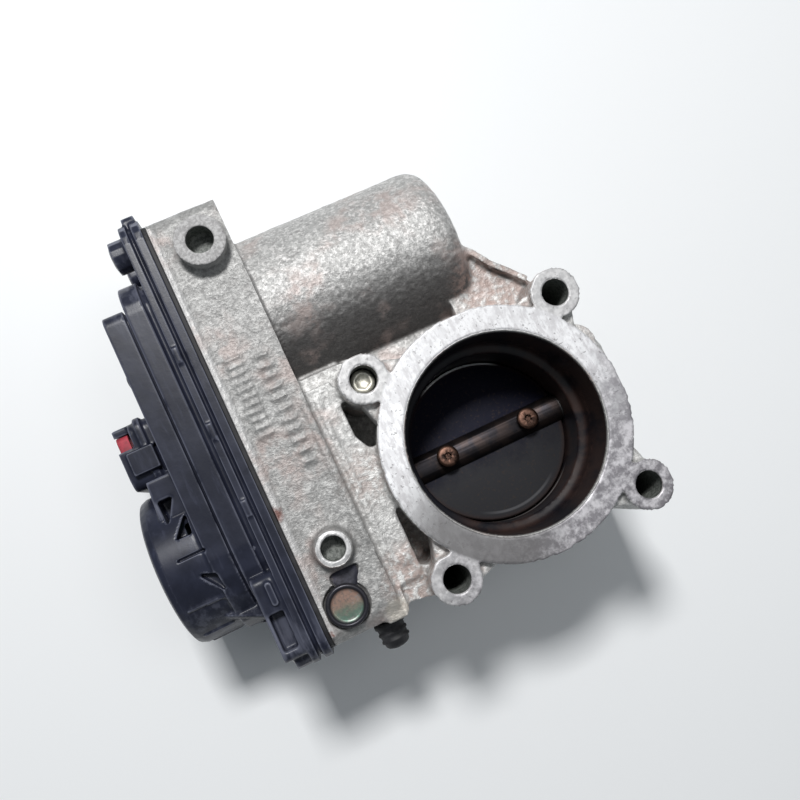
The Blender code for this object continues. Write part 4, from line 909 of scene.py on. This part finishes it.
def make_plate_screws():
    """The plate's screws, with their heads 5.8 mm above the shaft's axis."""
    for number, side in enumerate((-1, 1), 1):
        name = f"plate_screw_{number}"
        centre = AXIS + Vector((side * 12.0, 0, 0)) * MM
        bm = screw(centre + Vector((0, 0, 5.8)) * MM, DOWN, head_radius=2.95, head_height=1.5,
                   shank_radius=1.5, length=10.4, socket_radius=0.85, socket_depth=0.85, pitch=0.6)
        turn_about(bm, centre, UP, 25.0 * number)
        bmesh.ops.rotate(bm, verts=bm.verts, cent=centre, matrix=plate_tilt_matrix(name))
        add_fitting(name, bm, COPPERED, SCREW_ANGLE, "throttle")


def plate_tilt_matrix(name):
    """Rotation about the shaft that puts +Z along the CAD screw, found from where its head lies."""
    lean = 1 if centre_of(name).y > AXIS.y else -1
    return Matrix.Rotation(-lean * PLATE_TILT, 3, "X")


def make_stop_screw():
    foot, length, radius = end_of("stop_screw", "Z", -1)
    bm = screw(foot, UP, head_radius=radius, head_height=2.0, shank_radius=1.45, length=length,
               socket_radius=0.9, socket_depth=1.2, pitch=0.6)
    add_fitting("stop_screw", bm, SCREW_STEEL, SCREW_ANGLE)


# Distance from a pin's tip in millimetres, and the share of its full section there.
PIN_SECTIONS = ((0.0, 0.35), (0.5, 0.72), (1.3, 1.0), (12.0, 1.0), (12.0, 0.8))


def make_connector_pins():
    """Flat pins with a chamfered tip and a narrower root."""
    for number in range(1, 7):
        name = f"connector_pin_{number}"
        low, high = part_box(name)
        half = (high - low) / 2
        rings = []
        for along, share in (*PIN_SECTIONS, (2 * half.x / MM, 0.8)):
            x = low.x + along * MM
            rings.append(blunt_rectangle(x, centre_of(name), half.y * share, half.z * share))
        bm = bmesh.new()
        add_loft(bm, rings)
        bmesh.ops.recalc_face_normals(bm, faces=bm.faces)
        add_fitting(name, bm, BRASS, PIN_ANGLE)


def blunt_rectangle(x, middle, half_y, half_z):
    """Rectangle across X with cut corners."""
    cut = min(half_y, half_z) * 0.35
    corners = [(1, 1), (-1, 1), (-1, -1), (1, -1)]
    points = []
    for index, (sy, sz) in enumerate(corners):
        first = Vector((x, middle.y + sy * (half_y - cut), middle.z + sz * half_z))
        second = Vector((x, middle.y + sy * half_y, middle.z + sz * (half_z - cut)))
        points += [second, first] if index % 2 == 0 else [first, second]
    return points


def make_spigot_cap():
    """Moulded cap with a bead at its mouth, two grip rings and a rounded end."""
    mouth, length, radius = end_of("spigot_cap", "Y", 1)
    profile = [(4.6, 2.2), (0.25, 2.2), (0.0, 2.45), (0.0, radius - 0.35), (0.35, radius), (1.3, radius),
               (1.6, radius - 0.45), (2.5, radius - 0.5), (2.8, radius - 0.2), (3.2, radius - 0.2),
               (3.5, radius - 0.55), (4.3, radius - 0.6), (4.6, radius - 0.3), (5.0, radius - 0.3),
               (5.3, radius - 0.7), (length - 0.9, radius - 0.9), (length - 0.35, radius - 1.4),
               (length, radius - 2.3), (length, 0.5)]
    bm = lobed_lathe(mouth, (0, -1, 0), profile, {})
    add_fitting("spigot_cap", bm, DARK_RUBBER)


def make_wall_plug():
    """Pressed cup plug: rolled rim round a recessed, slightly dented disc."""
    centre, depth, radius = end_of("wall_plug", "Z", 1)
    profile = [(0.75, 0.3), (0.80, 1.2), (0.72, 2.4), (0.80, 3.3), (0.72, 3.75), (0.35, 4.0), (0.08, 4.25),
               (0.0, 4.5), (0.06, radius - 0.35), (0.28, radius - 0.06), (0.6, radius), (depth - 0.3, radius),
               (depth, radius - 0.3), (depth, 0.3)]
    dents = {1: (0.10, 3), 2: (0.16, 2), 3: (0.10, 3)}
    bm = lobed_lathe(centre, DOWN, profile, dents, 96)
    add_fitting("wall_plug", bm, PLUG)


def make_shaft_end_plug():
    """Dished plug that closes the far shaft bore."""
    centre, depth, radius = end_of("shaft_end_plug", "X", 1)
    profile = [(0.42, 0.3), (0.40, 2.4), (0.30, 4.6), (0.45, 6.2), (0.72, 7.0), (0.66, 7.35), (0.15, 7.7),
               (0.0, 8.1), (0.05, radius - 0.25), (0.25, radius), (depth - 0.15, radius),
               (depth, radius - 0.15), (depth, 0.3)]
    bm = lobed_lathe(centre, (-1, 0, 0), profile, {2: (0.05, 4)}, 96)
    add_fitting("shaft_end_plug", bm, STEEL)


def make_flange_dowel():
    """Hollow-ended dowel in the column beside the motor, chamfered and a little mushroomed."""
    top, length, radius = end_of("flange_dowel", "Z", 1)
    profile = [(0.55, 0.3), (0.50, 1.3), (0.12, 1.75), (0.0, 2.0), (0.10, radius - 0.45), (0.55, radius),
               (length - 0.6, radius), (length, radius - 0.5), (length, 0.3)]
    bm = lobed_lathe(top, DOWN, profile, {1: (0.12, 3), 2: (0.10, 6)})
    add_fitting("flange_dowel", bm, DOWEL_STEEL)


# -------- other CAD nodes

def smooth_by_angle_group(degrees):
    """Geometry nodes that shade everything smooth except edges sharper than the angle."""
    group = bpy.data.node_groups.new(f"smooth_under_{degrees}", "GeometryNodeTree")
    group.interface.new_socket("Geometry", in_out="INPUT", socket_type="NodeSocketGeometry")
    group.interface.new_socket("Geometry", in_out="OUTPUT", socket_type="NodeSocketGeometry")
    nodes, links = group.nodes, group.links
    start, end = nodes.new("NodeGroupInput"), nodes.new("NodeGroupOutput")
    faces = nodes.new("GeometryNodeSetShadeSmooth")
    edges = nodes.new("GeometryNodeSetShadeSmooth")
    edges.domain = "EDGE"
    angle = nodes.new("GeometryNodeInputMeshEdgeAngle")
    limit = nodes.new("ShaderNodeMath")
    limit.operation = "LESS_THAN"
    limit.inputs[1].default_value = math.radians(degrees)
    links.new(start.outputs[0], faces.inputs["Geometry"])
    links.new(faces.outputs[0], edges.inputs["Geometry"])
    links.new(angle.outputs["Unsigned Angle"], limit.inputs[0])
    links.new(limit.outputs[0], edges.inputs["Shade Smooth"])
    links.new(edges.outputs[0], end.inputs[0])
    return group


SMOOTH = smooth_by_angle_group(EDGE_ANGLE)
NODE_LOOKS = (            # material, rounding of the edges in millimetres, nodes
    (STEEL, 0.12, ("drive_side_bearing", "far_side_bearing", "sector_nut", "intermediate_gear_pin",
                   "motor_shaft", "motor_can", "motor_screw_1", "motor_screw_2")),
    (SPRING_STEEL, 0.0, ("return_spring", "limp_home_spring", "motor_wave_washer")),
    (SHAFT_STEEL, 0.15, ("throttle_shaft",)),
    (PLATE, 0.10, ("throttle_plate",)),
    (BRASS, 0.08, ("motor_pinion", "motor_terminal_1", "motor_terminal_2")),
    (MAGNET, 0.15, ("magnet_ring", "motor_magnet_1", "motor_magnet_2")),
    (GEAR_PLASTIC, 0.08, ("sector_gear", "intermediate_gear")),
    (PLASTIC, 0.15, ("motor_end_plate",)),
    (WINDING, 0.25, ("motor_armature",)),
    (BOARD, 0.10, ("sensor_board",)),
    (DARK_RUBBER, 0.10, ("drive_side_seal", "far_side_seal")),
    (RED_SILICONE, 0.25, ("connector_seal",)),
)


def dress_cad_nodes():
    """Materials, rounded edges and smooth shading for the nodes that keep their CAD mesh."""
    for material, round_mm, names in NODE_LOOKS:
        for name in names:
            node = frame["nodes"][name]
            for slot in node.material_slots:
                slot.material = material
            weld = node.modifiers.new("weld", "WELD")
            weld.merge_threshold = 1e-6
            if round_mm:
                round_edges(node, round_mm, segments=2)
            shade = node.modifiers.new("shade", "NODES")
            shade.node_group = SMOOTH


make_casting()
make_cover()
make_cover_seal()
make_cover_screws()
make_plate_screws()
make_stop_screw()
make_connector_pins()
make_spigot_cap()
make_wall_plug()
make_shaft_end_plug()
make_flange_dowel()
dress_cad_nodes()


# -------- floor, lights and camera

def make_stage():
    """Floor slab of 4 by 4 m whose top is at the part's foot."""
    corners = ((-2, -2), (2, -2), (2, 2), (-2, 2))
    bm = bmesh.new()
    add_loft(bm, [[Vector((x, y, z)) for x, y in corners] for z in (-0.02, 0.0)])
    bmesh.ops.recalc_face_normals(bm, faces=bm.faces)
    floor = object_from(bm, "floor")
    paint = Paint("floor_pale")
    paint.set("Base Color", (0.86, 0.87, 0.875, 1.0))
    floor.data.materials.append(paint.material)


LAMP_TARGET = (0, 0, 0.03)


def add_light(name, location, size, power):
    """Rectangular lamp, in metres and watts."""
    light = bpy.data.lights.new(name, "AREA")
    light.shape = "RECTANGLE"
    light.size, light.size_y = size
    light.energy = power
    obj = bpy.data.objects.new(name, light)
    obj.location = location
    obj.rotation_euler = (Vector(location) - Vector(LAMP_TARGET)).to_track_quat("Z", "Y").to_euler()
    bpy.context.scene.collection.objects.link(obj)


def make_lights():
    world = bpy.data.worlds.new("studio")
    bpy.context.scene.world = world
    world.use_nodes = True
    background = world.node_tree.nodes["Background"]
    background.inputs["Color"].default_value = (0.86, 0.935, 1.0, 1.0)
    background.inputs["Strength"].default_value = 0.21
    bpy.context.scene.view_settings.view_transform = "Standard"
    add_light("key", (0.00, 0.42, 0.80), size=(0.17, 0.15), power=7.2)
    add_light("overhead", (0.30, -0.02, 0.80), size=(0.30, 0.30), power=0.5)


# The camera was solved from the photo's bolt holes and flange ring.
LENS = 38.7
CAMERA_PLACE = (-46.5, 3.8, 260.8)
CAMERA_FORWARD, CAMERA_UP = (0.12817, 0.06841, -0.98939), (0.41487, 0.90244, 0.11615)


def make_camera():
    camera = bpy.data.cameras.new("camera")
    camera.lens = LENS
    camera.clip_start = 0.01
    obj = bpy.data.objects.new("camera", camera)
    bpy.context.scene.collection.objects.link(obj)
    forward = Vector(CAMERA_FORWARD).normalized()
    right = forward.cross(Vector(CAMERA_UP)).normalized()
    rotation = Matrix((right, right.cross(forward), -forward)).transposed()
    obj.matrix_world = Matrix.Translation(at(*CAMERA_PLACE)) @ rotation.to_4x4()
    bpy.context.scene.camera = obj


make_stage()
make_lights()
make_camera()
